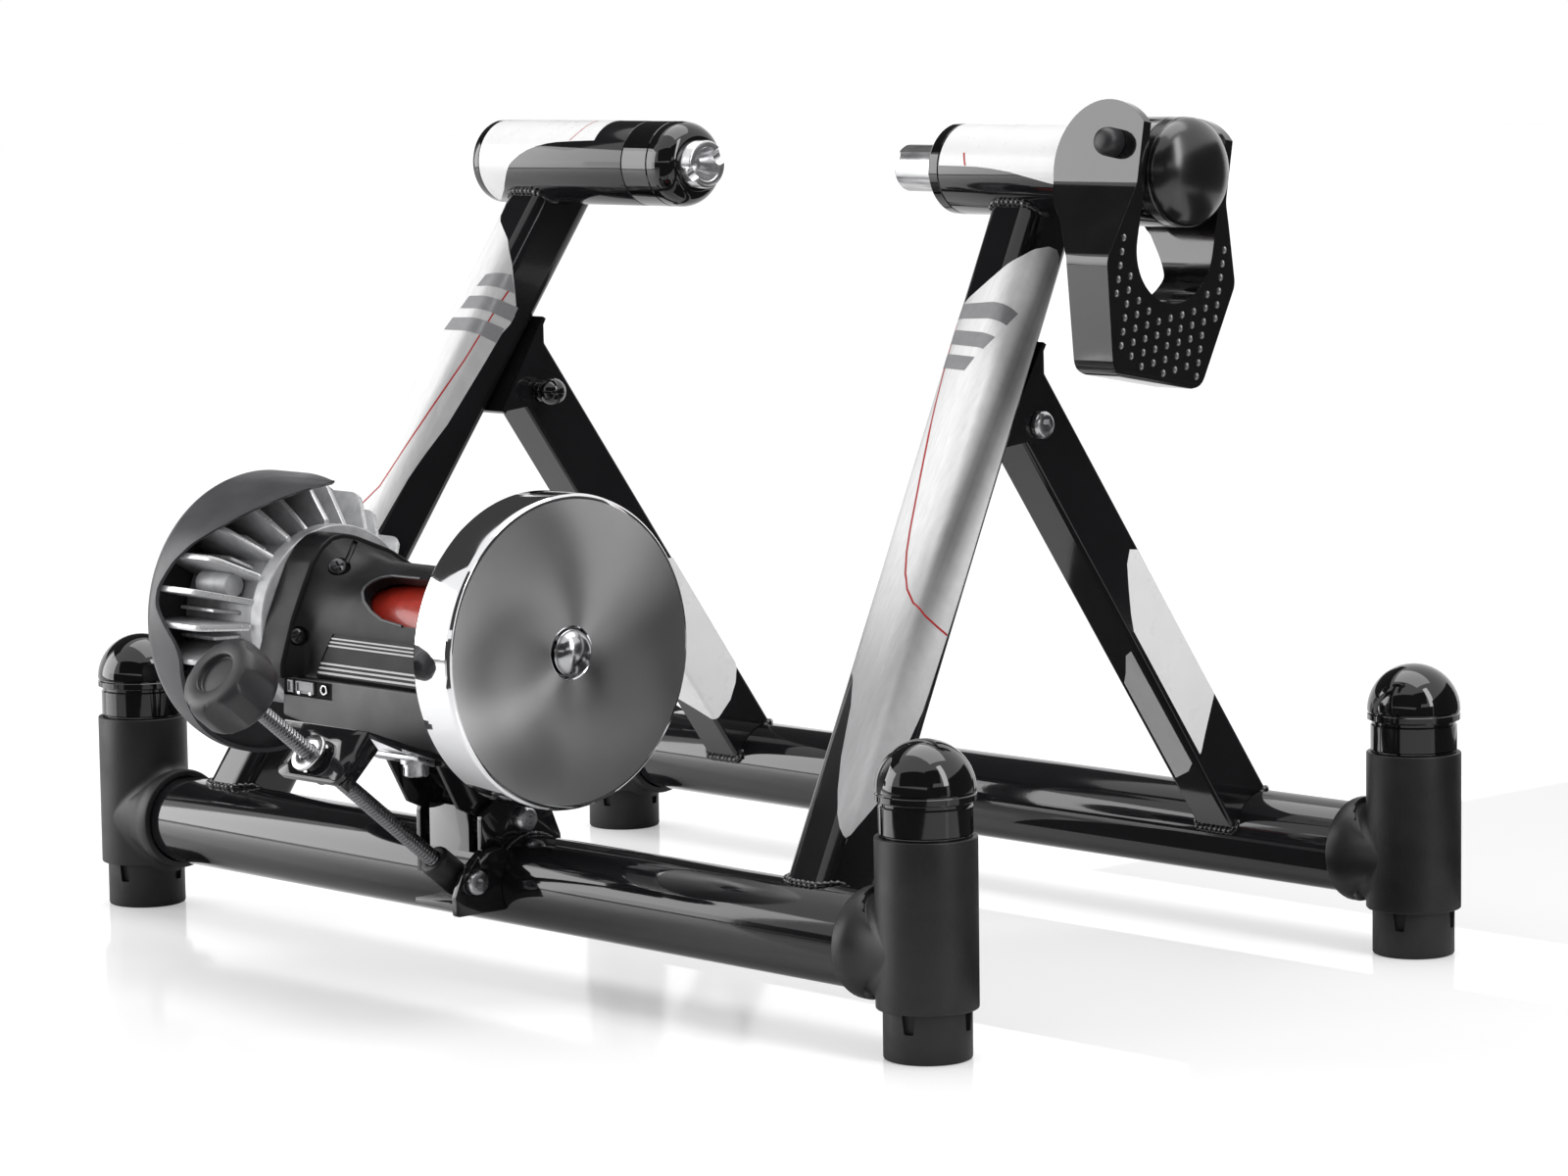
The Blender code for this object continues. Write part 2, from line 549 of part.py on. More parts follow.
def build_rod():
    low = (ROD_X, ROD_Y, ROD_Z)
    m = aim(low, (0.0, *ROD_RUN))
    tight = ROD_R + GAP
    block = place("rod_block", lathe([(-7, 0), (-7, 4), (-5, 6.5), (-1, 8), (17, 8), (19, 7), (19, 0)],
                                     m, 20), "rubber", low)
    combine(block, rod(6.5, 30, tight, m, 16))
    combine(block, rod(-40, 40, BOLT_R + GAP, along_x(ROD_Y, ROD_Z), 12))
    k, end = KNOB_AT, KNOB_AT + KNOB_LEN
    place("rod", rod(7.0, k + 6, ROD_R, m, 16), "steel", low)
    knob = place("knob", lathe([(k, 0), (k, 9.5), (k + 2, 12.0), (k + 7, KNOB_R - 1.5),
                                (k + 11, KNOB_R), (end - 5, KNOB_R), (end - 1, KNOB_R - 2),
                                (end, KNOB_R - 5), (end, 9.0), (end - 3, 9.0), (end - 3, 0)], m, 30),
                 "rubber", low)
    combine(knob, rod(k - 5, k + 6 + GAP, tight, m, 16))
    grips = []
    for n in range(6):
        a = math.radians(60 * n + 30)
        grip = rod(k - 5, end + 5, 11.0, Matrix.Identity(4), 16)
        grip.transform(m @ Matrix.Translation(((KNOB_R + 8) * math.cos(a), (KNOB_R + 8) * math.sin(a), 0)))
        grips.append(grip)
    combine(knob, merge(*grips))
    at = tuple(m @ Vector((0, 0, LUG_AT)))
    s = LUG_AT - 1.9
    place("rod_nut", lathe([(s - 7.4, tight), (s - 7.4, 8.5), (s, 8.5), (s, 6.0), (s + 7, 6.0),
                            (s + 7, tight)], m, 20, closed=True), "rubber", at)
    place("rod_washer", pipe(s + 7.3, s + 9.6, 12.0, tight, m, 20), "steel", at)


# Roller unit
def lug(s, b):
    """Point (y, z) on the lug, s along the rod and b across it."""
    p = Vector((ROD_Y, ROD_Z)) + ROD_RUN * (LUG_AT + s) + ROD_UP * b
    return (p.x, p.y)


def build_base_plate():
    front = lug(0, LUG_TOP)[0] - 1.4
    back = PIVOT_Y - 2
    top = PLATE_T - 0.5
    plate = [(back, plate_z(back)), (front, plate_z(front)), (front, plate_z(front) + PLATE_T),
             (back, plate_z(back) + PLATE_T)]
    right = ROD_X + 28
    base = place("base_plate", prism(plate, PLATE_LEFT, right), "black_gloss", (0, PIVOT_Y, PIVOT_Z))
    combine(base, box(18.0, right + 20, PLATE_Y + 26, PIVOT_Y + 24, PLATE_Z - 40, PLATE_Z + 10))
    flange = [(PLATE_Y - 2, plate_z(PLATE_Y - 2) + 1), (PLATE_Y + 14, PLATE_Z - 25),
              *arc(PIVOT_Y, PIVOT_Z, EYE_R, 235, 350, 6), (PIVOT_Y + 8.5, PIVOT_Z + 7.5),
              (back - 0.5, plate_z(back - 0.5) + top - 1.5)]
    combine(base, prism(flange, PLATE_LEFT + 0.1, PLATE_LEFT + 2.5), "UNION")
    combine(base, prism(flange, 15.2, 17.7), "UNION")
    combine(base, prism([lug(0, LUG_TOP), lug(0, LUG_LOW), lug(3, LUG_LOW), lug(3, LUG_TOP)],
                        ROD_X - 21, right - 0.1), "UNION")
    edge = [lug(-8, LUG_TOP - 3), lug(-5, LUG_LOW + 0.1), lug(0.4, LUG_LOW + 0.1),
            lug(0.4, LUG_TOP - 1)]
    combine(base, prism(edge, right - 2.8, right - 0.2), "UNION")
    combine(base, rod(-60, 60, BOLT_R + GAP, along_x(PIVOT_Y, PIVOT_Z), 12))
    hole = aim((ROD_X, ROD_Y, ROD_Z), (0, *ROD_RUN))
    combine(base, rod(LUG_AT - 25, LUG_AT + 20, LUG_HOLE, hole, 20))


def build_brake():
    m = along_x(BRAKE_Y, BRAKE_Z)
    axis = along_x(UNIT_Y, UNIT_Z)
    start, end = COVER_START + 4.8, ARCH_START - GAP
    flange = end - 9.7
    sink = place("heat_sink", lathe([(start, 0), (start, DRUM_R), (flange, DRUM_R),
                                     (flange, DRUM_R + 3), (end, DRUM_R + 3), (end, 0)], m, 36),
                 "alu", (flange, BRAKE_Y, BRAKE_Z))
    fins = []
    for angle in range(0, 360, FIN_STEP):
        if 232 <= angle <= 308:
            continue
        cut = 6 * (angle // FIN_STEP % 2)
        root, tail = DRUM_R - 1.5, flange + 2.5
        shape = [(start + 2.2, root), (start + 2.2, FIN_R - 7), (start + 8.2, FIN_R),
                 (flange - 16 - cut, FIN_R), (tail, DRUM_R + 5 - cut / 2), (tail, root)]
        fin = prism(shape, -FIN_T / 2, FIN_T / 2, XZ)
        turn = Matrix.Rotation(math.radians(angle - 90), 4, "X")
        fin.transform(Matrix.Translation((0, BRAKE_Y, BRAKE_Z)) @ turn)
        fins.append(fin)
    combine(sink, merge(*fins), "UNION")
    combine(sink, rod(start - 20, flange - 2, DRUM_R - 9, axis, 28))
    combine(sink, rod(flange - 10, end + 20, BORE_R, axis, 16))
    rotor_r, rotor_start = DRUM_R - 12, start + 7.2
    place("brake_rotor", pipe(rotor_start, flange - 10, rotor_r, SHAFT_R + GAP, axis, 24), "steel",
          (rotor_start, UNIT_Y, UNIT_Z))
    build_cover(m)


def build_cover(m):
    """Cupped cover over the fins, its front edge swept back and its rear left open."""
    inner = FIN_R + 0.8
    outer = inner + COVER_WALL
    c, b, z = COVER_START, BRAKE_Y, BRAKE_Z
    tip = ARCH_START + 11
    cover = place("brake_cover", lathe([(c, 0), (c, outer - 16), (c + 3, outer - 6), (c + 8, outer),
                                        (tip, outer), (tip, inner), (c + 5.6, inner),
                                        (c + 4.5, inner - 13), (c + 4.5, 0)], m, 48),
                  "grey_matte", (COVER_START, BRAKE_Y, BRAKE_Z))
    edge = [(tip, z + outer - 1.6), (tip - 21, z + 59.5), (tip - 52, z + 40.7), (tip - 61, z + 31),
            (c + 15.5, z + 19), (c + 15, z + 10), (c + 23, z), (c + 31, z - 9), (c + 33, z - 16),
            (c + 28, z - 30), (c + 18, z - 56), (c + 16, z - 84), (tip + 30, z - 84),
            (tip + 30, z + outer - 1.6)]
    combine(cover, prism(edge, b - 100, b + 100, XZ))
    rear = [(tip + 20, b - 9), (tip - 2, b - 9), (c + 26, b + 14), (c + 18, b + 40), (c + 18, b + 100),
            (tip + 20, b + 100)]
    combine(cover, prism(rear, z - 90, z + 90, XY))


def build_housings():
    axis = along_x(UNIT_Y, UNIT_Z)
    y, z = UNIT_Y, UNIT_Z
    split = SPLIT_Z + GAP / 2
    arch = [(y + 54, split), (y - 48.5, split), (y - 48, z - 14), (y - 41, z + 7), (y - 34.5, z + 21),
            (y - 28, z + 34), (y - 22, z + 41.5), (y - 15, z + 46), (y - 8, z + 47), (y, z + 45.5),
            (y + 23, z + 36.5), (y + 45.5, z + 22.5), (y + 53, z + 11)]
    plate = place("arch_plate", prism(arch, ARCH_START, ARCH_END), "grey_matte",
                  (ARCH_END, UNIT_Y, UNIT_Z))
    seat = BEARING_W + GAP * 3
    combine(plate, rod(ARCH_START - 10, ARCH_END + 10, BORE_R, axis, 16))
    combine(plate, rod(ARCH_END - seat, ARCH_END + 10, BEARING_R + GAP, axis, 20))
    place("bearing_left", pipe(ARCH_END - GAP * 2 - BEARING_W, ARCH_END - GAP * 2, BEARING_R,
                               SHAFT_R + GAP, axis, 20), "steel", (ARCH_END, UNIT_Y, UNIT_Z))

    start, end = ARCH_END + GAP, HOOD_END
    room = (start + 3.2, ROLLER_END + 1.5)
    shell = [(y + HOOD_R + 2, split), (y - HOOD_R - 1, split), *arc(y, z, HOOD_R, 180, 0, 16)]
    hood = place("hood", prism(shell, start, end), "grey_matte", (0, UNIT_Y, UNIT_Z))
    combine(hood, rod(*room, CAVITY_R, axis, 28))
    combine(hood, rod(start - 10, end + 10, BORE_R, axis, 16))
    combine(hood, rod(end - seat, end + 10, BEARING_R + GAP, axis, 20))
    place("bearing_right", pipe(end - GAP * 2 - BEARING_W, end - GAP * 2, BEARING_R, SHAFT_R + GAP,
                                axis, 20), "steel", (end, UNIT_Y, UNIT_Z))
    cut_window(hood)
    rear = [(y, z), *arc(y, z, HOOD_R + 26, -5, 82, 8)]
    combine(hood, prism(rear, ROLLER_START + 8, ROLLER_END - 5))
    recess = [(-36, z - 1), (24, z - 1), (15, z - 20), (-54, z - 20)]
    combine(hood, prism(recess, y - HOOD_R - 20, y - HOOD_R + 0.4, XZ))

    rise = PLATE_T + SEAT
    under = plate_z(UNIT_Y + 25) + rise
    low = [(y + 42, SPLIT_Z - GAP / 2), (y - 35.5, SPLIT_Z - GAP / 2),
           (PLATE_Y - 0.5, plate_z(PLATE_Y - 0.5) + rise), (y + 25, under), (y + 42, under)]
    bm = prism(low, ARCH_START + 5, end)
    everything = list(bm.verts) + list(bm.edges) + list(bm.faces)
    bmesh.ops.bisect_plane(bm, geom=everything, plane_co=(PLATE_LEFT, 0, 0), plane_no=(1, 0, 0))
    for vert in bm.verts:
        if vert.co.x < ARCH_START + 10 and vert.co.z < SPLIT_Z - 5:
            vert.co.z += LOWER_LIFT
    base = place("lower_housing", bm, "grey_matte", (0, UNIT_Y, SPLIT_Z))
    combine(base, rod(*room, CAVITY_R, axis, 28))
    combine(base, box(-66, -30, y - 50, y - 34.8, SPLIT_Z - 9.5, SPLIT_Z - 1.5))


def cut_window(hood):
    """Tear-shaped window over the roller, given as (x, degrees round the hood)."""
    end = ROLLER_END - 5
    mid = math.radians(141.5)
    window = [(end, 165), (16, 165), (0, 162), (-10, 156), (-18, 148), (-22.5, 140), (-23, 135),
              (-21, 128), (-17, 122), (-11, 118.5), (10, 118), (end, 118)]
    outline = [(x, HOOD_R * math.sin(math.radians(a) - mid)) for x, a in window]
    across = Matrix(((1, 0, 0, 0), (0, -math.sin(mid), math.cos(mid), UNIT_Y),
                     (0, math.cos(mid), math.sin(mid), UNIT_Z), (0, 0, 0, 1)))
    combine(hood, prism(outline, HOOD_R / 3, HOOD_R + 16, across))


def build_roller():
    axis = along_x(UNIT_Y, UNIT_Z)
    middle = ((ROLLER_START + ROLLER_END) / 2, UNIT_Y, UNIT_Z)
    bore = SHAFT_R + GAP
    a, b, r = ROLLER_START, ROLLER_END, ROLLER_R
    place("roller", lathe([(a, bore), (a, r - 0.6), (a + 0.6, r), (b - 0.6, r), (b, r - 0.6),
                           (b, bore)], axis, closed=True), "red", middle)
    place("shaft", rod(COVER_START + 12.5, FLY_FACE - 4, SHAFT_R, axis, 16), "steel", middle)
    f, t, r = FLY_FACE, FLY_FACE - FLY_T, FLY_R
    wheel = [(t + 0.6, bore), (t + 0.6, 24), (t + 4, 26), (t + 4, r - 13.6), (t + 1, r - 9.6),
             (t + 0.4, r - 0.6), (t + 1, r), (f - 0.6, r), (f, r - 0.6), (f, 12), (f - 3.8, 12),
             (f - 3.8, bore)]
    place("flywheel", lathe(wheel, axis, 48, closed=True), "chrome", (FLY_FACE, UNIT_Y, UNIT_Z))
    cap = [(f - 3.5, 0), (f - 3.5, 11.2), (f + 1, 11.2)]
    cap += [(f + 1 + 6.5 * math.sin(t), 11.2 * math.cos(t)) for t in
            (math.radians(18 * k) for k in range(1, 5))] + [(f + 7.5, 0)]
    place("flywheel_screw", lathe(cap, axis, 20), "chrome", (FLY_FACE, UNIT_Y, UNIT_Z))


build_bars()
for tag, side, y in (("near_left", -1, 0.0), ("near_right", 1, 0.0), ("far_left", -1, BAR_SPACING),
                     ("far_right", 1, BAR_SPACING)):
    build_tee(tag, side, y)
    build_cap(tag, side, y)
    build_foot(tag, side, y)
for tag, side in (("left", -1), ("right", 1)):
    build_leg(tag, side)
    build_strut(tag, side)
    build_fold_hinge(tag, side)
build_left_clamp()
build_right_clamp()
build_brackets()
build_rod()
build_base_plate()
build_brake()
build_housings()
build_roller()
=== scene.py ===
"""Looks of a folding bicycle trainer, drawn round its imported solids.

Every piece is drawn in millimetres with the near floor bar at Y = 0, X along the bars and Z up,
and settle() then moves it into the solids' own frame, in metres.
"""
import math

import bpy
from mathutils import Matrix, Vector


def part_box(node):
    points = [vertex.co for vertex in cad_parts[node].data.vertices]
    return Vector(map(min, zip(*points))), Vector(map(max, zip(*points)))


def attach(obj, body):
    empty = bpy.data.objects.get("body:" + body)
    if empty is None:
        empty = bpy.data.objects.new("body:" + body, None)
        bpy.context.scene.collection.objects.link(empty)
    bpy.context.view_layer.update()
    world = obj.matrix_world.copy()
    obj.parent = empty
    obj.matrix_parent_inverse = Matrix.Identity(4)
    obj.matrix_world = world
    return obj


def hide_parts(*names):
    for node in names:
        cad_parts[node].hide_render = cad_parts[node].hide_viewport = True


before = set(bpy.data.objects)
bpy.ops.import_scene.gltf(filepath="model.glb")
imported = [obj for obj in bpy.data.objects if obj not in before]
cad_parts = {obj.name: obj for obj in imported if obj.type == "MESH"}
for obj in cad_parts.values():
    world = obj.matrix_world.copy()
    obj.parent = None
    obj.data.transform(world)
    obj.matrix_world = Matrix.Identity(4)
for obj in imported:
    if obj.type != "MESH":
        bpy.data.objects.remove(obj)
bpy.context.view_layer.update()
NEAR_Y = sum(corner.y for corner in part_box("near_bar")) / 2

bl_info = {
    "name": "Folding bicycle trainer",
    "version": (1, 0, 0),
    "blender": (4, 5, 0),
    "location": "3D View > Sidebar > Trainer",
    "description": "Dresses the solids of a folding bicycle trainer",
    "category": "Add Mesh",
}

# Places and sizes in millimetres; a pair is (Y, Z)
BAR_R, BAR_Z, FAR_BAR = 22.9, 49.2, 345.5
FOOT_X = 298.0
SLEEVE_R, SLEEVE_LOW, SLEEVE_TOP = 23.7, 23.3, 102.2
HUB = (195.2, 395.0)
HUB_R, HUB_BORE_R = 22.5, 19.5
LEG_LOW_X, LEG_HIGH_X = 223.4, 181.7
LEG_LOW, LEG_HIGH = (5.3, 55.0), (HUB[0], HUB[1] - 22.0)
LEG_WIDE, LEG_DEEP = 30.6, 35.4
STRUT_X = 186.3
FOLD_ALONG, FOLD_OUT = 274.3, 36.2
UNIT = (-40.0, 173.0)
BRAKE = (-36.0, 174.0)
PIVOT = (-4.0, 80.5)
ROD_FOOT = Vector((13.0, -40.0, 54.0))
ROD_ANGLE = math.radians(140.9)
ROD_RUN = Vector((0.0, math.cos(ROD_ANGLE), math.sin(ROD_ANGLE)))
SIDES = (("left", -1), ("right", 1))
CORNERS = [(row, side, sign, y) for row, y in (("near", 0.0), ("far", FAR_BAR)) for side, sign in SIDES]
FIT = 0.3
PIN_HOLE_R, SHAFT_HOLE_R = 4.3, 8.6
SEAT_R, ROOM_R = 15.3, 27.5
CAMERA_AT = (1854.4, -1558.0, 467.2)
CAMERA_LENS, SENSOR = 113.18, 36.0


# Drawing
def deselect():
    """Leave edit mode and select nothing."""
    if bpy.context.object and bpy.context.object.mode != "OBJECT":
        bpy.ops.object.mode_set(mode="OBJECT")
    bpy.ops.object.select_all(action="DESELECT")


def pick(obj):
    """Make a piece the only one selected."""
    deselect()
    obj.select_set(True)
    bpy.context.view_layer.objects.active = obj


def edit(obj):
    """Open a piece in edit mode with all of it selected."""
    pick(obj)
    bpy.ops.object.mode_set(mode="EDIT")
    bpy.ops.mesh.select_all(action="SELECT")


def mend(obj):
    """Merge doubled points and turn the faces outwards."""
    edit(obj)
    bpy.ops.mesh.remove_doubles(threshold=0.002)
    bpy.ops.mesh.dissolve_degenerate(threshold=0.001)
    bpy.ops.mesh.normals_make_consistent(inside=False)
    deselect()
    return obj


def apply(obj, kind, **settings):
    """Add a modifier and apply it."""
    pick(obj)
    mod = obj.modifiers.new(kind.lower(), kind)
    for key, value in settings.items():
        setattr(mod, key, value)
    bpy.ops.object.modifier_apply(modifier=mod.name)
    return obj


def bevelled(obj, width, segments=3, angle=35):
    """Round a piece's sharp edges."""
    return apply(obj, "BEVEL", width=width, segments=segments, limit_method="ANGLE",
                 angle_limit=math.radians(angle), harden_normals=False)


def outline(name, points, fill=True):
    """A primitive circle whose points are moved onto an outline."""
    deselect()
    bpy.ops.mesh.primitive_circle_add(vertices=len(points), fill_type="NGON" if fill else "NOTHING")
    obj = bpy.context.object
    obj.name = obj.data.name = name
    for vert, point in zip(obj.data.vertices, points):
        vert.co = point
    return obj


def soften(points, radius, steps=4, closed=True):
    """Round the corners of a flat outline; radius is one number or one per point."""
    out, n = [], len(points)
    for i, point in enumerate(points):
        r = radius[i] if isinstance(radius, (list, tuple)) else radius
        p = Vector(point)
        if r <= 0 or (not closed and i in (0, n - 1)):
            out.append(tuple(p))
            continue
        a, b = Vector(points[i - 1]) - p, Vector(points[(i + 1) % n]) - p
        turn = math.pi - a.angle(b)
        cut = min(r * math.tan(turn / 2), 0.48 * a.length, 0.48 * b.length)
        if turn < 0.05 or cut < 1e-4:
            out.append(tuple(p))
            continue
        start, end = p + a.normalized() * cut, p + b.normalized() * cut
        rr = cut / math.tan(turn / 2)
        centre = p + (a.normalized() + b.normalized()).normalized() * (rr / math.cos(turn / 2))
        v0, v1 = start - centre, end - centre
        for k in range(steps + 1):
            t = k / steps
            v = (v0 * math.sin((1 - t) * turn) + v1 * math.sin(t * turn)) / math.sin(turn)
            out.append(tuple(centre + v))
    return out


def arc(cu, cv, radius, start, end, steps):
    """Points on a circle about (cu, cv), from one angle in degrees to another."""
    turns = [math.radians(start + (end - start) * i / steps) for i in range(steps + 1)]
    return [(cu + radius * math.cos(a), cv + radius * math.sin(a)) for a in turns]


def stand(origin, direction):
    """Matrix that stands local Z along a direction."""
    turn = Vector(direction).normalized().to_track_quat("Z", "Y").to_matrix().to_4x4()
    return Matrix.Translation(Vector(origin)) @ turn


def along_x(y, z):
    """Matrix that lays local Z along X at (y, z)."""
    return stand((0.0, y, z), (1.0, 0.0, 0.0))


def turned(name, profile, place, seg=64, rounding=0.0):
    """Spin a (distance, radius) profile about the place's Z; it closes on itself or on the axis."""
    if rounding:
        profile = soften(profile, [rounding if r else 0 for a, r in profile], 3)
    obj = outline(name, [(r, 0.0, a) for a, r in profile], fill=False)
    edit(obj)
    bpy.ops.mesh.spin(steps=seg, angle=math.tau, center=(0, 0, 0), axis=(0, 0, 1))
    mend(obj)
    obj.data.transform(place)
    return obj


def dome(start, high, radius, angles):
    """(distance, radius) points up a dome that rises by high from a start."""
    return [(start + high * math.sin(math.radians(a)), radius * math.cos(math.radians(a))) for a in angles]


def pipe(name, a0, a1, outer, inner, place, seg=64, rounding=0.4):
    """Round tube with a bore."""
    return turned(name, [(a0, inner), (a0, outer), (a1, outer), (a1, inner)], place, seg, rounding)


def drum(name, a0, a1, radius, place, seg=32):
    """Plain round cylinder."""
    return turned(name, [(a0, 0), (a0, radius), (a1, radius), (a1, 0)], place, seg)


YZ = Matrix(((0, 0, 1, 0), (1, 0, 0, 0), (0, 1, 0, 0), (0, 0, 0, 1)))
XZ = Matrix(((1, 0, 0, 0), (0, 0, 1, 0), (0, 1, 0, 0), (0, 0, 0, 1)))
XY = Matrix.Identity(4)


def plate(name, points, w0, w1, place=YZ, bevel=0.0, segments=3):
    """Extrude a flat outline (u, v) from w0 to w1; YZ lays u, v, w on Y, Z, X."""
    obj = outline(name, [(u, v, w0) for u, v in points])
    edit(obj)
    bpy.ops.mesh.extrude_region_move(TRANSFORM_OT_translate={"value": (0, 0, w1 - w0)})
    mend(obj)
    obj.data.transform(place)
    if place.determinant() < 0:
        obj.data.flip_normals()
    return bevelled(obj, bevel, segments) if bevel else obj


def block(name, x0, x1, y0, y1, z0, z1, bevel=0.0):
    """Box between given limits."""
    return plate(name, [(y0, z0), (y1, z0), (y1, z1), (y0, z1)], x0, x1, bevel=bevel)


def carve(obj, *cutters, operation="DIFFERENCE"):
    """Cut with, or join, other pieces, which are used up."""
    for cutter in cutters:
        apply(obj, "BOOLEAN", operation=operation, solver="EXACT", object=cutter)
        bpy.data.objects.remove(cutter, do_unlink=True)
    return obj


def join(name, *objs):
    """Make one piece of several."""
    pick(objs[0])
    for obj in objs:
        obj.select_set(True)
    bpy.ops.object.join()
    objs[0].name = objs[0].data.name = name
    return objs[0]


def copied(obj, place, name):
    """Copy with its own mesh, moved by a matrix."""
    twin = obj.copy()
    twin.data = obj.data.copy()
    twin.name = twin.data.name = name
    bpy.context.scene.collection.objects.link(twin)
    twin.data.transform(place)
    if place.determinant() < 0:
        twin.data.flip_normals()
    return twin


def woven(name, rows, cols, point):
    """A primitive grid closed round its columns; point(i, j) places row i of column j."""
    deselect()
    span = cols + 1
    bpy.ops.mesh.primitive_grid_add(x_subdivisions=cols, y_subdivisions=rows - 1)
    obj = bpy.context.object
    obj.name = obj.data.name = name
    for k, vert in enumerate(obj.data.vertices):
        vert.co = point(k // span, k % span % cols)
    return mend(obj)


def close_ends(obj):
    """Fill the open ends of a woven tube."""
    edit(obj)
    bpy.ops.mesh.select_all(action="DESELECT")
    bpy.ops.mesh.select_non_manifold()
    bpy.ops.mesh.fill_holes(sides=0)
    deselect()
    return mend(obj)


RIPPLE, RIPPLE_STEPS, BEAD_SIDES = 3.2, 6, 10


def bead(name, points, share=1.0, closed=True):
    """Weld bead along a line of points, with its ripples; share is its part of the weld radius."""
    radius = bpy.context.scene.trainer_look.weld_radius * 1000 * share
    pts = [Vector(p) for p in points]
    lengths = [0.0]
    ring = pts + [pts[0]] if closed else pts
    for a, b in zip(ring, ring[1:]):
        lengths.append(lengths[-1] + (b - a).length)
    steps = max(8, int(lengths[-1] / RIPPLE * RIPPLE_STEPS))
    line = []
    for k in range(steps + (0 if closed else 1)):
        want = lengths[-1] * k / steps
        i = max(j for j in range(len(ring) - 1) if lengths[j] <= want + 1e-9)
        t = (want - lengths[i]) / max(lengths[i + 1] - lengths[i], 1e-9)
        line.append(ring[i].lerp(ring[i + 1], t))
    n = len(line)

    def point(i, j):
        before = line[i - 1 if closed or i else 0]
        after = line[(i + 1) % n if closed else min(i + 1, n - 1)]
        t = (after - before).normalized()
        ref = Vector((0.31, 0.52, 0.8))
        side = (ref - t * ref.dot(t)).normalized()
        up = t.cross(side)
        swell = 0.86 + 0.14 * math.sin(math.tau * i / RIPPLE_STEPS) + 0.05 * math.sin(i * 1.7)
        if not closed:
            swell *= min(1.0, 0.35 + 0.5 * min(i, n - 1 - i))
        a = math.tau * j / BEAD_SIDES
        return line[i] + (side * math.cos(a) + up * math.sin(a)) * radius * swell

    if closed:
        obj = woven(name, n + 1, BEAD_SIDES, lambda i, j: point(i % n, j))
    else:
        obj = woven(name, n, BEAD_SIDES, point)
        edit(obj)
        bpy.ops.mesh.select_all(action="DESELECT")
        bpy.ops.mesh.select_non_manifold()
        bpy.ops.mesh.edge_face_add()
        deselect()
    return mend(obj)


def settle(obj, body, material, replaces="", angle=35, even=False):
    """Hand a drawn piece over to its body: metres, the solids' frame, smooth and painted."""
    obj.data.transform(Matrix.Translation((0, NEAR_Y, 0)) @ Matrix.Scale(0.001, 4))
    pick(obj)
    bpy.ops.object.shade_smooth_by_angle(angle=math.radians(angle))
    if even:
        apply(obj, "WEIGHTED_NORMAL", keep_sharp=True, weight=60)
    if material:
        obj.data.materials.append(material)
    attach(obj, body)
    if replaces:
        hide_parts(replaces)


def at_corners(piece, name, node, material, angle=35, mirrored=False):
    """Copy a piece to the four ends of the floor bars; the piece itself is used up."""
    for row, side, sign, y in CORNERS:
        flip = Matrix.Rotation(math.pi, 4, "Z") if mirrored and sign > 0 else XY
        obj = copied(piece, Matrix.Translation((sign * FOOT_X, y, 0)) @ flip, f"{name}_{row}_{side}")
        settle(obj, f"{row}_frame", material, f"{node}_{row}_{side}", angle)
    bpy.data.objects.remove(piece, do_unlink=True)


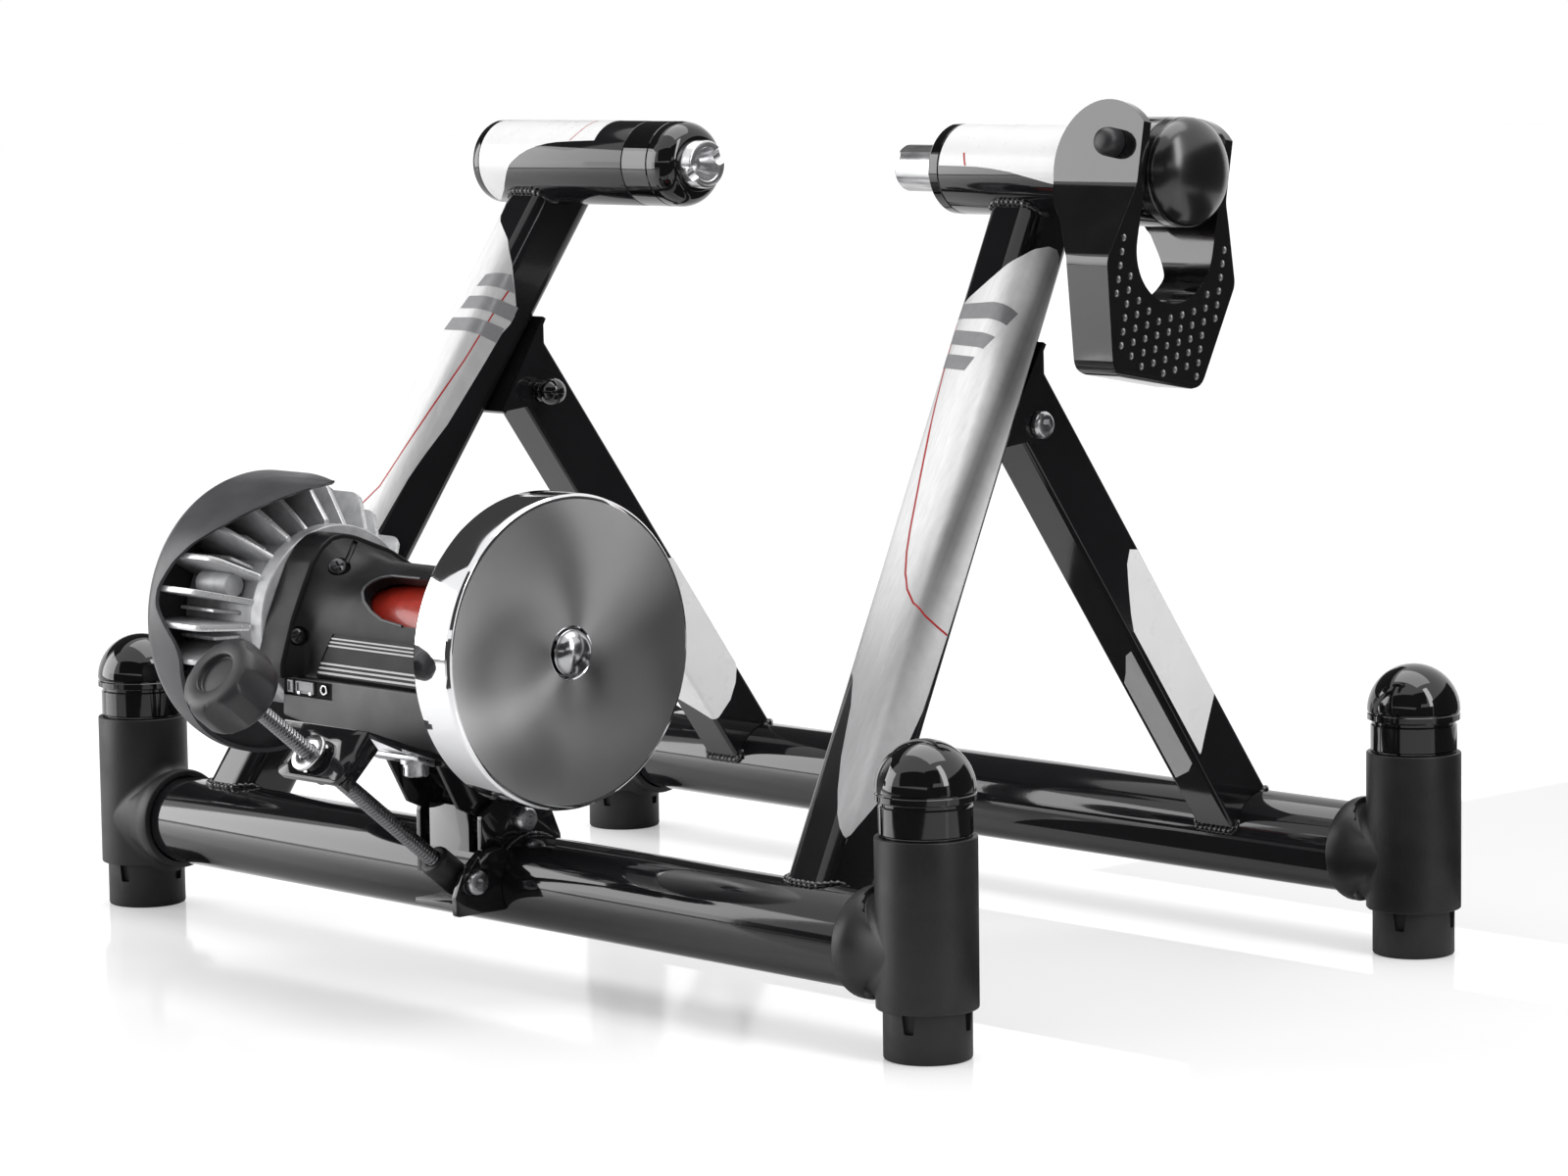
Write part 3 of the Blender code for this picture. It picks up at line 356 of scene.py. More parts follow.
# Finishes
class Finish:
    """One node material: a Principled shader fed by patterns on Object coordinates."""

    def __init__(self, name, color, roughness, metallic=0.0, **sockets):
        self.mat = bpy.data.materials.new(name)
        self.mat.use_nodes = True
        self.nodes, self.links = self.mat.node_tree.nodes, self.mat.node_tree.links
        self.shader = self.nodes["Principled BSDF"]
        self.color = color
        values = {"Base Color": (*color, 1.0), "Roughness": roughness, "Metallic": metallic}
        for key, value in {**values, **sockets}.items():
            self.shader.inputs[key].default_value = value
        self.coords = self.nodes.new("ShaderNodeTexCoord").outputs["Object"]

    def node(self, kind, **inputs):
        """New node; a value goes to the socket or, without one, to the property of that name."""
        node = self.nodes.new(kind)
        for key, value in inputs.items():
            name = key.replace("_", " ")
            if name in node.inputs:
                socket = node.inputs[name]
                if hasattr(value, "links"):
                    self.links.new(value, socket)
                else:
                    socket.default_value = value
            else:
                setattr(node, key, value)
        return node

    def noise(self, scale, detail=4.0, at=None):
        """Cloudy pattern from 0 to 1."""
        return self.node("ShaderNodeTexNoise", Vector=at or self.coords, Scale=scale, Detail=detail,
                         Roughness=0.55).outputs["Fac"]

    def spread(self, value, low, high, start=0.3, end=0.7):
        """Carry the range from start to end over to the range from low to high."""
        node = self.node("ShaderNodeMapRange", Value=value)
        for key, number in (("From Min", start), ("From Max", end), ("To Min", low), ("To Max", high)):
            node.inputs[key].default_value = number
        return node.outputs["Result"]

    def mottle(self, scale, dark, light):
        """Vary the colour between two multiples of itself."""
        ramp = self.nodes.new("ShaderNodeValToRGB")
        ramp.color_ramp.elements[0].position, ramp.color_ramp.elements[1].position = 0.3, 0.7
        for stop, share in zip(ramp.color_ramp.elements, (dark, light)):
            stop.color = (*[min(1.0, c * share) for c in self.color], 1.0)
        self.links.new(self.noise(scale), ramp.inputs["Fac"])
        self.links.new(ramp.outputs["Color"], self.shader.inputs["Base Color"])
        return self

    def smudge(self, scale, low, high, at=None):
        """Vary the roughness."""
        self.links.new(self.spread(self.noise(scale, 5.0, at=at), low, high),
                       self.shader.inputs["Roughness"])
        return self

    def grain(self, scale, strength, distance=0.0001, at=None):
        """Fine bumps, their distance in metres."""
        bump = self.node("ShaderNodeBump", Strength=strength, Distance=distance,
                         Height=self.noise(scale, 3.0, at=at))
        self.links.new(bump.outputs["Normal"], self.shader.inputs["Normal"])
        return self


def finishes():
    """Every finish by its short name."""
    look = bpy.context.scene.trainer_look
    black, silver = tuple(look.coat_color), tuple(look.silver_color)
    made = {}

    def add(name, finish):
        made[name] = finish.mat

    add("coat", Finish("gloss_powder_coat", black, 0.07, **{"Coat Weight": 0.35, "Coat Roughness": 0.03,
        "Specular IOR Level": 0.42})
        .mottle(14, 0.8, 1.3).smudge(30, 0.05, 0.1).grain(420, 0.05, 0.0002))
    add("moulded", Finish("matte_moulded_black", (0.011, 0.011, 0.012), 0.42,
        **{"Specular IOR Level": 0.42}).mottle(60, 0.8, 1.25).smudge(45, 0.36, 0.5)
        .grain(1900, 0.35, 0.0002))
    add("foot", Finish("foot_rubber", (0.016, 0.016, 0.017), 0.5, **{"Specular IOR Level": 0.42})
        .mottle(40, 0.8, 1.25).smudge(60, 0.44, 0.6).grain(1400, 0.3, 0.0002))
    add("gloss", Finish("gloss_moulded_black", (0.004, 0.004, 0.0045), 0.05, **{"Coat Weight": 0.5,
        "Coat Roughness": 0.03}).mottle(25, 0.8, 1.3).smudge(40, 0.03, 0.08).grain(260, 0.03, 0.0002))
    add("lever", Finish("gloss_lever_black", (0.006, 0.006, 0.0065), 0.09, **{"Coat Weight": 0.5,
        "Coat Roughness": 0.05}).mottle(35, 0.8, 1.25).smudge(50, 0.06, 0.14).grain(900, 0.04, 0.0001))
    add("chrome", Finish("bright_chrome", (0.86, 0.865, 0.875), 0.05, 1.0).mottle(20, 0.96, 1.02)
        .smudge(60, 0.03, 0.08).grain(180, 0.02, 0.0002))
    add("cup", Finish("satin_turned_cup", (0.74, 0.745, 0.755), 0.2, 0.9).mottle(70, 0.94, 1.04)
        .smudge(90, 0.15, 0.26).grain(700, 0.06, 0.0001))
    add("steel", Finish("zinc_plated_steel", (0.58, 0.585, 0.6), 0.25, 1.0).mottle(90, 0.8, 1.15)
        .smudge(130, 0.2, 0.36).grain(800, 0.12, 0.0001))
    add("alu", Finish("cast_aluminium", (0.5, 0.505, 0.515), 0.42, 0.2).mottle(120, 0.8, 1.15)
        .smudge(160, 0.34, 0.5).grain(700, 0.35, 0.0002))
    # Painted highlight: a lighter, more metallic finish for the fins' edge faces, standing in for the light
    # that catches them.
    add("alu_edge_highlight", Finish("aluminium_edge_painted_highlight", (0.66, 0.665, 0.67), 0.3, 0.5)
        .mottle(150, 0.9, 1.05).smudge(200, 0.18, 0.32).grain(1500, 0.1, 0.0001))
    add("case", Finish("charcoal_case", (0.036, 0.037, 0.039), 0.36).mottle(70, 0.85, 1.15)
        .smudge(60, 0.3, 0.44).grain(1700, 0.3, 0.0002))
    add("housing", Finish("dark_housing", (0.011, 0.0112, 0.012), 0.36,
        **{"Specular IOR Level": 0.2}).mottle(70, 0.85, 1.15).smudge(60, 0.3, 0.44)
        .grain(1700, 0.3, 0.0002))
    add("cover", Finish("satin_grey_cover", (0.062, 0.063, 0.067), 0.34).mottle(50, 0.85, 1.15)
        .smudge(45, 0.28, 0.42).grain(1500, 0.22, 0.0002))
    add("red", Finish("red_roller", (0.5, 0.035, 0.02), 0.34, **{"Coat Weight": 0.3})
        .mottle(200, 0.85, 1.15).smudge(90, 0.28, 0.42).grain(1100, 0.2, 0.0002))
    add("knob", Finish("knob_rubber", (0.02, 0.02, 0.022), 0.42).mottle(55, 0.85, 1.2)
        .smudge(50, 0.36, 0.5).grain(1600, 0.3, 0.0002))
    # The leg film's colour holds painted light: a painted highlight, a painted dark reflection band and
    # painted shade.
    add("silver", silver_film_with_painted_light("silver_film_painted_light", silver))
    add("stripe", Finish("grey_stripe", (0.3, 0.3, 0.31), 0.35, 0.3).mottle(300, 0.95, 1.05)
        .smudge(200, 0.3, 0.4).grain(2000, 0.05))
    add("pin", Finish("red_pinstripe", (0.42, 0.012, 0.014), 0.4).mottle(300, 0.9, 1.1)
        .smudge(200, 0.35, 0.45).grain(2000, 0.05))
    add("white", Finish("white_film", (0.9, 0.9, 0.9), 0.3, **{"Coat Weight": 0.2})
        .mottle(60, 0.97, 1.01).smudge(90, 0.25, 0.36).grain(900, 0.02))
    add("grey_film", Finish("grey_film", (0.5, 0.5, 0.505), 0.34, 0.2).mottle(60, 0.95, 1.04)
        .smudge(90, 0.3, 0.4).grain(900, 0.05))
    add("face", turned_face("turned_chrome_face", (0.6, 0.6, 0.605)))
    add("rim", Finish("polished_rim", (0.88, 0.885, 0.895), 0.05, 1.0).mottle(20, 0.97, 1.02)
        .smudge(60, 0.03, 0.07).grain(200, 0.02, 0.0002))
    add("screw_dome", Finish("polished_screw_dome", (0.5, 0.505, 0.515), 0.14, 1.0).mottle(60, 0.94, 1.04)
        .smudge(90, 0.12, 0.2).grain(300, 0.02, 0.0002))
    add("dome", Finish("polished_black", (0.006, 0.006, 0.0065), 0.24, **{"Specular IOR Level": 0.55,
        "Coat Weight": 0.6, "Coat Roughness": 0.2}).mottle(30, 0.8, 1.2).smudge(60, 0.21, 0.27)
        .grain(200, 0.02, 0.0002))
    add("stud", Finish("polished_stud", (0.2, 0.2, 0.205), 0.12, **{"Specular IOR Level": 1.0,
        "Metallic": 0.5, "Coat Weight": 1.0, "Coat Roughness": 0.05}).mottle(300, 0.8, 1.2)
        .smudge(400, 0.1, 0.16).grain(2000, 0.02, 0.0001))
    add("bright", Finish("bright_zinc", (0.82, 0.82, 0.83), 0.16, 1.0).mottle(90, 0.92, 1.05)
        .smudge(130, 0.12, 0.22).grain(800, 0.08, 0.0001))
    add("rod", Finish("rolled_thread", (0.2, 0.2, 0.207), 0.26, 1.0).mottle(60, 0.9, 1.08)
        .smudge(200, 0.22, 0.32).grain(900, 0.05, 0.0001))
    add("screw", Finish("blackened_screw", (0.045, 0.045, 0.047), 0.2, 0.7).mottle(120, 0.85, 1.2)
        .smudge(160, 0.15, 0.28).grain(900, 0.12, 0.0001))
    # Painted shade: near-black finish for the back of the port recess, darker than the case round it.
    add("dark", Finish("port_recess_painted_shade", (0.006, 0.006, 0.006), 0.7, **{"Specular IOR Level": 0.2})
        .mottle(80, 0.8, 1.2).smudge(90, 0.6, 0.8).grain(900, 0.2))
    return made


# Painted light on the silver leg films: shares of the film colour across its UV width give a painted
# highlight that goes to white and a painted dark reflection band; toward the lower end it fades into a
# duller painted shade.
FILM_PAINTED_LIGHT = ((0.0, 0.62), (0.1, 0.88), (0.28, 1.0), (0.5, 1.0), (0.6, 0.66), (0.68, 0.28), (0.74, 0.2),
               (0.8, 0.27), (0.88, 0.55), (0.95, 0.85), (1.0, 0.95))
HIGHLIGHT_CAP, HIGHLIGHT_GAIN, LOW_END_SHADE = 0.9, 1.45, 0.8
SHADE_FADE = (0.22, 0.52)


def silver_film_with_painted_light(name, color):
    """Brushed silver film with painted light across its own width: it shades from silver over a painted
    white highlight to a painted dark reflection band, and toward its lower end fades into plain painted
    shade.
    """
    film = Finish(name, color, 0.5, 0.15, **{"Specular IOR Level": 0.3})
    lean = film.node("ShaderNodeMapping", Vector=film.coords, Scale=(1.0, 0.12, 0.12),
                     Rotation=(0.54, 0, 0)).outputs[0]
    film.smudge(1200, 0.46, 0.56, at=lean).grain(1600, 0.02, 0.0001, at=lean)
    across = film.node("ShaderNodeSeparateXYZ", Vector=film.node("ShaderNodeUVMap").outputs[0])
    # Painted highlight and painted dark reflection band across the film's width.
    ramp = film.nodes.new("ShaderNodeValToRGB")
    stops = ramp.color_ramp.elements
    while len(stops) < len(FILM_PAINTED_LIGHT):
        stops.new(0.5)
    for stop, (place, share) in zip(stops, FILM_PAINTED_LIGHT):
        stop.position = place
        stop.color = (*[min(HIGHLIGHT_CAP, HIGHLIGHT_GAIN * c) * share for c in color], 1.0)
    film.links.new(across.outputs["X"], ramp.inputs["Fac"])
    # Painted shade: toward the film's lower end the painted light fades into a plainer, darker colour.
    fade = film.node("ShaderNodeMix", data_type="RGBA")
    film.links.new(film.spread(across.outputs["Y"], 0.0, 1.0, *SHADE_FADE), fade.inputs["Factor"])
    fade.inputs["A"].default_value = (*[LOW_END_SHADE * c for c in color], 1.0)
    film.links.new(ramp.outputs["Color"], fade.inputs["B"])
    brush = film.node("ShaderNodeMix", data_type="RGBA", blend_type="MULTIPLY")
    brush.inputs["Factor"].default_value = 1.0
    film.links.new(fade.outputs["Result"], brush.inputs["A"])
    film.links.new(film.spread(film.noise(900, 4.0, at=lean), 0.93, 1.05), brush.inputs["B"])
    film.links.new(brush.outputs["Result"], film.shader.inputs["Base Color"])
    return film


def turned_face(name, color):
    """Metal turned on a lathe about the roller's axis: fine rings and a sheen that runs round."""
    face = Finish(name, color, 0.32, 1.0, Anisotropic=0.9)

    def vector(operation, first, second=None):
        node = face.node("ShaderNodeVectorMath", operation=operation)
        face.links.new(first, node.inputs[0])
        if second:
            node.inputs[1].default_value = second
        return node.outputs

    arm = vector("SUBTRACT", face.coords, (0.0, UNIT[0] / 1000 + NEAR_Y, UNIT[1] / 1000))[0]
    flat = vector("MULTIPLY", arm, (0, 1, 1))[0]
    along = vector("CROSS_PRODUCT", flat, (1, 0, 0))[0]
    face.links.new(vector("NORMALIZE", along)[0], face.shader.inputs["Tangent"])
    rings = face.node("ShaderNodeTexNoise", noise_dimensions="1D", Scale=2600.0, Detail=2.0)
    face.links.new(vector("LENGTH", flat)["Value"], rings.inputs["W"])
    face.links.new(face.spread(rings.outputs["Fac"], 0.3, 0.35), face.shader.inputs["Roughness"])
    bump = face.node("ShaderNodeBump", Strength=0.012, Distance=0.0001)
    face.links.new(rings.outputs["Fac"], bump.inputs["Height"])
    face.links.new(bump.outputs["Normal"], face.shader.inputs["Normal"])
    face.mottle(25, 0.97, 1.02)
    return face


# Floor bars, tees, caps and feet
def draw_bars(m):
    """The two floor bars."""
    end = FOOT_X - SLEEVE_R - 0.3
    for name, y, body in (("near_bar", 0.0, "near_frame"), ("far_bar", FAR_BAR, "far_frame")):
        obj = pipe(name + "_tube", -end, end, BAR_R, BAR_R - 2.0, along_x(y, BAR_Z), 96)
        settle(obj, body, m["coat"], name)


def draw_tees(m):
    """Sleeve, and a branch that flows into it on a rolled fillet, drawn once and copied."""
    sleeve = turned("tee", [(SLEEVE_LOW, 21.1), (SLEEVE_LOW, SLEEVE_R), (SLEEVE_TOP, SLEEVE_R),
                            (SLEEVE_TOP, 21.1)], XY, 72, 0.7)
    slim, collar, fillet = SLEEVE_R - 0.2, BAR_R + 3.6, 7.0
    run = [(2.0, slim), (8.0, slim), (15.0, slim + 0.15), (20, slim + 0.6), (24, slim + 1.5),
           (27, collar - 0.6), (29.2, collar), (34.4, collar), (35.5, collar - 0.4), (36.0, collar - 1.2),
           (36.0, BAR_R + 0.35), (30.0, BAR_R + 0.35)]
    steps, around = 7, 72

    def point(i, j):
        """First the rows of the fillet, then those of the run."""
        a = math.tau * j / around
        out = Vector((0.0, math.cos(a), math.sin(a)))
        cy, cz = (slim + fillet) * out.y, (slim + fillet) * out.z
        cx = math.sqrt(max((SLEEVE_R + fillet) ** 2 - cy * cy, 1.0))
        if i < steps:
            inward = -out
            home = -Vector((cx, cy, 0)).normalized()
            t = 1 - i / (steps - 1)
            turn = inward.angle(home)
            v = (inward * math.sin((1 - t) * turn) + home * math.sin(t * turn)) / math.sin(turn)
            return Vector((cx, cy, cz + BAR_Z)) + v * fillet
        d, r = run[i - steps]
        x = max(cx + 0.4, d) if i - steps < 2 else max(d, cx + 0.8)
        return Vector((x, r * out.y, r * out.z + BAR_Z))

    branch = woven("branch", steps + len(run), around, point)
    tee = join("tee", sleeve, branch)
    at_corners(tee, "tee_sleeve", "tee", m["moulded"], mirrored=True)


def draw_caps(m):
    """Domed cap with eight ticks round its rim, on each tee."""
    lip, r, inner = 118.3, SLEEVE_R - 0.4, 18.3
    top = lip + 4.8
    profile = [(62.0, inner), (62.0, 20.8), (SLEEVE_TOP - 1, 20.8), (SLEEVE_TOP + 1.0, 20.9),
               (SLEEVE_TOP + 1.6, 21.6), (lip - 2.4, 21.6), (lip - 1.6, 20.9), (lip - 0.4, 20.9),
               (lip, r - 0.9), (lip + 0.5, r), (lip + 3.2, r), (lip + 3.7, r - 0.45),
               (lip + 4.3, r - 0.45), *dome(top, r, r, range(0, 90, 6)), (top + r, 0.0),
               (top + inner, 0.0), *dome(top, inner, inner, range(80, -1, -10))]
    cap = turned("cap", profile, XY, 80)
    for k in range(8):
        tick = block("tick", r - 0.35, r + 1, -0.6, 0.6, lip + 0.7, lip + 2.9)
        tick.data.transform(Matrix.Rotation(math.radians(22.5 + 45 * k), 4, "Z"))
        carve(cap, tick)
    at_corners(cap, "cap_dome", "cap", m["gloss"], 28)


def draw_feet(m):
    """Foot with four slots, under each tee."""
    step, r = SLEEVE_LOW - 0.3, SLEEVE_R - 3.2
    profile = [(1.2, 14.0), (0.0, 14.8), (0.0, r - 1.2), (0.4, r - 0.35), (1.2, r), (step, r),
               (step, 20.8), (58.0, 20.8), (58.0, 14.0)]
    foot = turned("foot", profile, XY, 72)
    wedge = soften([(-2.3, 14.0), (2.3, 14.0), (3.7, 25.0), (-3.7, 25.0)], [0.8, 0.8, 0, 0], 3)
    for k in range(4):
        slot = plate("slot", wedge, r - 2.5, r + 3)
        slot.data.transform(Matrix.Rotation(math.radians(19.6 + 90 * k), 4, "Z"))
        carve(foot, slot)
    at_corners(foot, "foot_plug", "foot", m["foot"], 28)


# Rectangular tubes with their films
# The lean moves the painted dark reflection band of the silver leg films along the tube.
UV_LEAN, UV_MIDDLE = 0.09, 255


class Tube:
    """A rounded rectangular tube between two points; p runs round it and w along it.

    p is 0 at the outer front corner, negative across the front, positive across the outer side.
    """

    def __init__(self, start, end, width, depth, radius, side):
        self.start, self.side = Vector(start), side
        self.w, self.d, self.r = width / 2, depth / 2, radius
        self.t = (Vector(end) - self.start).normalized()
        self.length = (Vector(end) - self.start).length
        self.ux = (Vector((1, 0, 0)) - self.t * self.t.x).normalized()
        self.vy = self.t.cross(self.ux)

    def place(self):
        """Matrix that stands a section drawn round the origin at the tube's start."""
        rot = Matrix((self.ux, self.vy, self.t)).transposed().to_4x4()
        return Matrix.Translation(self.start) @ rot

    def section(self, steps=8, inset=0.0):
        """Outline across the tube."""
        w, d, r = self.w - inset, self.d - inset, max(self.r - inset, 0.8)
        out = []
        for cu, cv, a in ((1, 1, 0), (-1, 1, 90), (-1, -1, 180), (1, -1, 270)):
            out += arc(cu * (w - r), cv * (d - r), r, a, a + 90, steps)
        return out

    def at(self, p, w, lift):
        """World point on the skin at (p, w), lifted off it."""
        r, wide, deep = self.r, 2 * self.w, 2 * self.d
        if p > deep - r:
            a = min((p - deep + r) / (2 * r), 1.0) * math.pi / 2
            u, v = self.w - r + (r + lift) * math.cos(a), self.d - r + (r + lift) * math.sin(a)
        elif p > r:
            u, v = self.w + lift, p - self.d
        elif p > -r:
            a = (p + r) / (2 * r) * math.pi / 2
            u, v = self.w - r + (r + lift) * math.sin(a), -self.d + r - (r + lift) * math.cos(a)
        elif p > -wide + r:
            u, v = self.w + p, -self.d - lift
        elif p > -wide - r:
            a = (-wide + r - p) / (2 * r) * math.pi / 2
            u, v = -self.w + r - (r + lift) * math.sin(a), -self.d + r - (r + lift) * math.cos(a)
        else:
            u, v = -self.w - lift, -self.d - wide - p
        return self.start + self.ux * u * self.side + self.vy * v + self.t * w

    def film(self, name, points, lift, thick=0.12):
        """Thin film cut to an outline of (p, w) points and wrapped on the tube.

        Its UV map runs from 0 to 1 across the front and the outer side, and leans along the tube, so that
        the painted highlight and painted dark reflection band of the silver film lean with it.
        """
        obj = outline(name, [(p, w, 0.0) for p, w in points])
        wide, deep, r, steps = 2 * self.w, 2 * self.d, self.r, 8
        cuts = [c + r * (2 * k / steps - 1) for c in (-wide, 0.0, deep) for k in range(steps + 1)]
        edit(obj)
        for cut in cuts:
            bpy.ops.mesh.select_all(action="SELECT")
            bpy.ops.mesh.bisect(plane_co=(cut, 0, 0), plane_no=(1, 0, 0))
        deselect()
        edit(obj)
        bpy.ops.mesh.extrude_region_move(TRANSFORM_OT_translate={"value": (0, 0, thick)})
        mend(obj)
        uv = obj.data.uv_layers.active or obj.data.uv_layers.new(name="across")
        for corner in obj.data.loops:
            p, w = obj.data.vertices[corner.vertex_index].co.xy
            across = p + wide - UV_LEAN * (w - UV_MIDDLE)
            uv.data[corner.index].uv = (across / (wide + deep), w / self.length)
        for vert in obj.data.vertices:
            vert.co = self.at(vert.co.x, vert.co.y, lift + vert.co.z)
        if self.side < 0:
            obj.data.flip_normals()
        return obj

    def meets(self, y, z, radius, high=False):
        """Points where the tube's skin runs into a round bar along X."""
        out, lift = [], 0.4
        for u, v in self.section(3, -lift):
            p = self.start + self.ux * u + self.vy * v
            dy, dz = p.y - y, p.z - z
            a = self.t.y ** 2 + self.t.z ** 2
            b = 2 * (dy * self.t.y + dz * self.t.z)
            c = dy * dy + dz * dz - (radius + lift) ** 2
            root = math.sqrt(max(b * b - 4 * a * c, 0.0))
            out.append(p + self.t * ((-b - root if high else -b + root) / (2 * a)))
        return out


SILVER_RIGHT = [(30.5, 342), (29.8, 349), (28, 353.5), (25, 355.8), (19.2, 354.4), (10.9, 348.6),
                (3.4, 341.6), (-5.1, 334.1), (-13.1, 327), (-21, 319.6), (-27.4, 313.8), (-31.5, 307),
                (-35, 298), (-36.5, 285), (-36.5, 265), (-33.5, 240), (-30, 200), (-27.8, 160),
                (-27.2, 125), (-26.4, 117), (-25, 116), (-22.8, 113),
                (-19.1, 99.9), (-17.2, 86.4), (-15.2, 73), (-11, 56.3), (-6.6, 44.7), (-2.6, 38.1),
                (0.6, 35), (2.6, 34), (5.1, 36.2), (10.1, 45.2), (16.2, 56.8), (24.1, 90), (27.6, 109.6),
                (28.6, 129), (29.2, 145), (29.8, 162), (30.3, 190)]
SILVER_LEFT = [(34.5, 330), (33, 344), (29, 356), (23, 363), (14, 366), (4, 365), (-1.5, 363),
               (-4.2, 360.3), (-5.5, 353.3), (-8.6, 350), (-13.7, 346.4), (-21.7, 341), (-32.9, 329.8),
               (-42.7, 319), (-49, 311.5), (-51.4, 306), (-51.3, 301), (-49, 294.1), (-47.9, 277.6),
               (-46.1, 256.7), (-44.2, 235.8), (-39.9, 215.5), (-37, 199), (-34.6, 165), (-33.2, 122),
               (-31.8, 112), (-29.8, 113.5), (-27.5, 116), (-25, 116), (-22.8, 113), (-19.1, 99.9),
               (-17.2, 86.4), (-15.2, 73), (-11, 56.3), (-6.6, 44.7), (-2.6, 38.1), (0.6, 35), (2.6, 34),
               (5.1, 36.2), (10.1, 45.2), (16.2, 56.8), (24.1, 90), (28.4, 109.6), (30.6, 129),
               (31.8, 145), (33, 162), (34, 190)]
STRIPES_RIGHT = [[(-27.6, 314.4), (0, 314.0), (12.1, 313.5), (6.7, 304.4), (0, 304.8), (-28.6, 306.4)],
                 [(-36, 301.6), (1.7, 296.2), (-3.3, 288.8), (-36, 294)],
                 [(-36, 288.6), (-7.3, 284.1), (-11.5, 277.1), (-36, 281)]]
STRIPES_LEFT = [[(-18.8, 318.8), (-37, 323.9), (-42.6, 318.8), (-44.5, 316.2), (-16.2, 311.2)],
                [(-14.2, 304.8), (-50.9, 311.0), (-51.2, 302.6), (-12.1, 296.9)],
                [(-9.8, 290.9), (-48.9, 297.0), (-48.3, 288.0), (-7.6, 283.1)]]
STRUT_LEFT = [(-57.2, 141.5), (-51.8, 145.5), (-46, 140.9), (-39.7, 130.5), (-33.2, 118.8), (-25.7, 112),
              (-16.8, 124.1), (-10, 136.5), (-3, 140), (-3, 61.8), (-10.7, 57), (-23.4, 48), (-28.8, 46.8),
              (-41.4, 48.7), (-50.5, 54), (-56, 60), (-57.2, 63)]
PIN_RIGHT = [(-29.3, 304.5), (-27.8, 291.4), (-26.3, 279.7), (-23.9, 257.4), (-19.2, 220.2),
             (-15.4, 192.2), (-13.2, 180), (-9.8, 168.5), (-5.3, 160.3), (0.7, 154.2), (10.4, 151.3),
             (20, 150.2), (29, 149.5)]
STRUT_SIDE = [(30.7, 181.5), (26.1, 185.5), (20.3, 180.9), (14, 170.5), (7.5, 158.8), (3.9, 150.5),
              (3.9, 67), (5.5, 67.5), (13.8, 73.5), (27.3, 82.6), (31.5, 85.5)]
STRUT_FRONT = [(-21.8, 117), (-16.8, 124.1), (-10, 136.5), (-4.6, 140), (-4.2, 63.8), (-10, 57.5),
               (-21.8, 51.5)]
PIN_LEFT = [(-40.4, 317.8), (-37.3, 297.6), (-34.4, 270.5), (-27.1, 226.1), (-20.2, 189.6),
            (-13.4, 178), (-9.8, 168.5), (-5.3, 160.3), (0.7, 154.2), (10.4, 151.3), (20, 150.2),
            (31.7, 149.3)]


def ribbon(line, width):
    """Outline of a thin strip along a line of (p, w) points."""
    pts = [Vector(q) for q in line]
    left, right = [], []
    for i, q in enumerate(pts):
        t = (pts[min(i + 1, len(pts) - 1)] - pts[max(i - 1, 0)]).normalized()
        side = Vector((-t.y, t.x)) * width / 2
        left.append(tuple(q + side))
        right.append(tuple(q - side))
    return left + right[::-1]


def leg_point(along, out):
    """Point (y, z) up a leg's axis and out behind it."""
    base, top = Vector(LEG_LOW), Vector(LEG_HIGH)
    run = (top - base).normalized()
    return tuple(base + run * along + Vector((run.y, -run.x)) * out)


def draw_legs(m):
    """Leg on each side, with its welds, silver film with painted light, pinstripe and grey stripes."""
    for side, sign in SIDES:
        tube = Tube((sign * LEG_LOW_X, *LEG_LOW), (sign * LEG_HIGH_X, *LEG_HIGH), LEG_WIDE, LEG_DEEP, 8.0,
                    sign)
        leg = plate(f"leg_tube_{side}", tube.section(), -7, tube.length + 26, tube.place())
        carve(leg, plate("bore", tube.section(4, 2.0), -20, tube.length + 40, tube.place()),
              drum("bar", -FOOT_X, FOOT_X, BAR_R + FIT, along_x(0, BAR_Z), 64),
              drum("barrel", -FOOT_X, FOOT_X, HUB_R + FIT, along_x(*HUB), 64),
              block("above", -FOOT_X, FOOT_X, HUB[0] - 95, HUB[0] + 105, HUB[1] - 11, HUB[1] + 85))
        settle(leg, "near_frame", m["coat"], f"leg_{side}", 30, True)
        foot = bead(f"leg_foot_weld_{side}", tube.meets(0, BAR_Z, BAR_R))
        top = bead(f"leg_top_weld_{side}", tube.meets(*HUB, HUB_R, high=True), 1.05)
        settle(foot, "near_frame", m["coat"], angle=60)
        settle(top, "near_frame", m["coat"], angle=60)
        silver, stripes, pin = ((SILVER_RIGHT, STRIPES_RIGHT, PIN_RIGHT) if sign > 0 else
                                (SILVER_LEFT, STRIPES_LEFT, PIN_LEFT))
        # The silver film carries a painted highlight, a painted dark reflection band and painted shade.
        film = tube.film(f"silver_film_{side}", silver, 0.02)
        settle(film, "near_frame", m["silver"], angle=30, even=True)
        line = tube.film(f"pinstripe_{side}", ribbon(pin, 1.1), 0.14, 0.08)
        settle(line, "near_frame", m["pin"], angle=30)
        for k, shape in enumerate(stripes):
            bar = tube.film(f"grey_stripe_{side}_{k + 1}", shape, 0.2, 0.05)
            settle(bar, "near_frame", m["stripe"], angle=30)


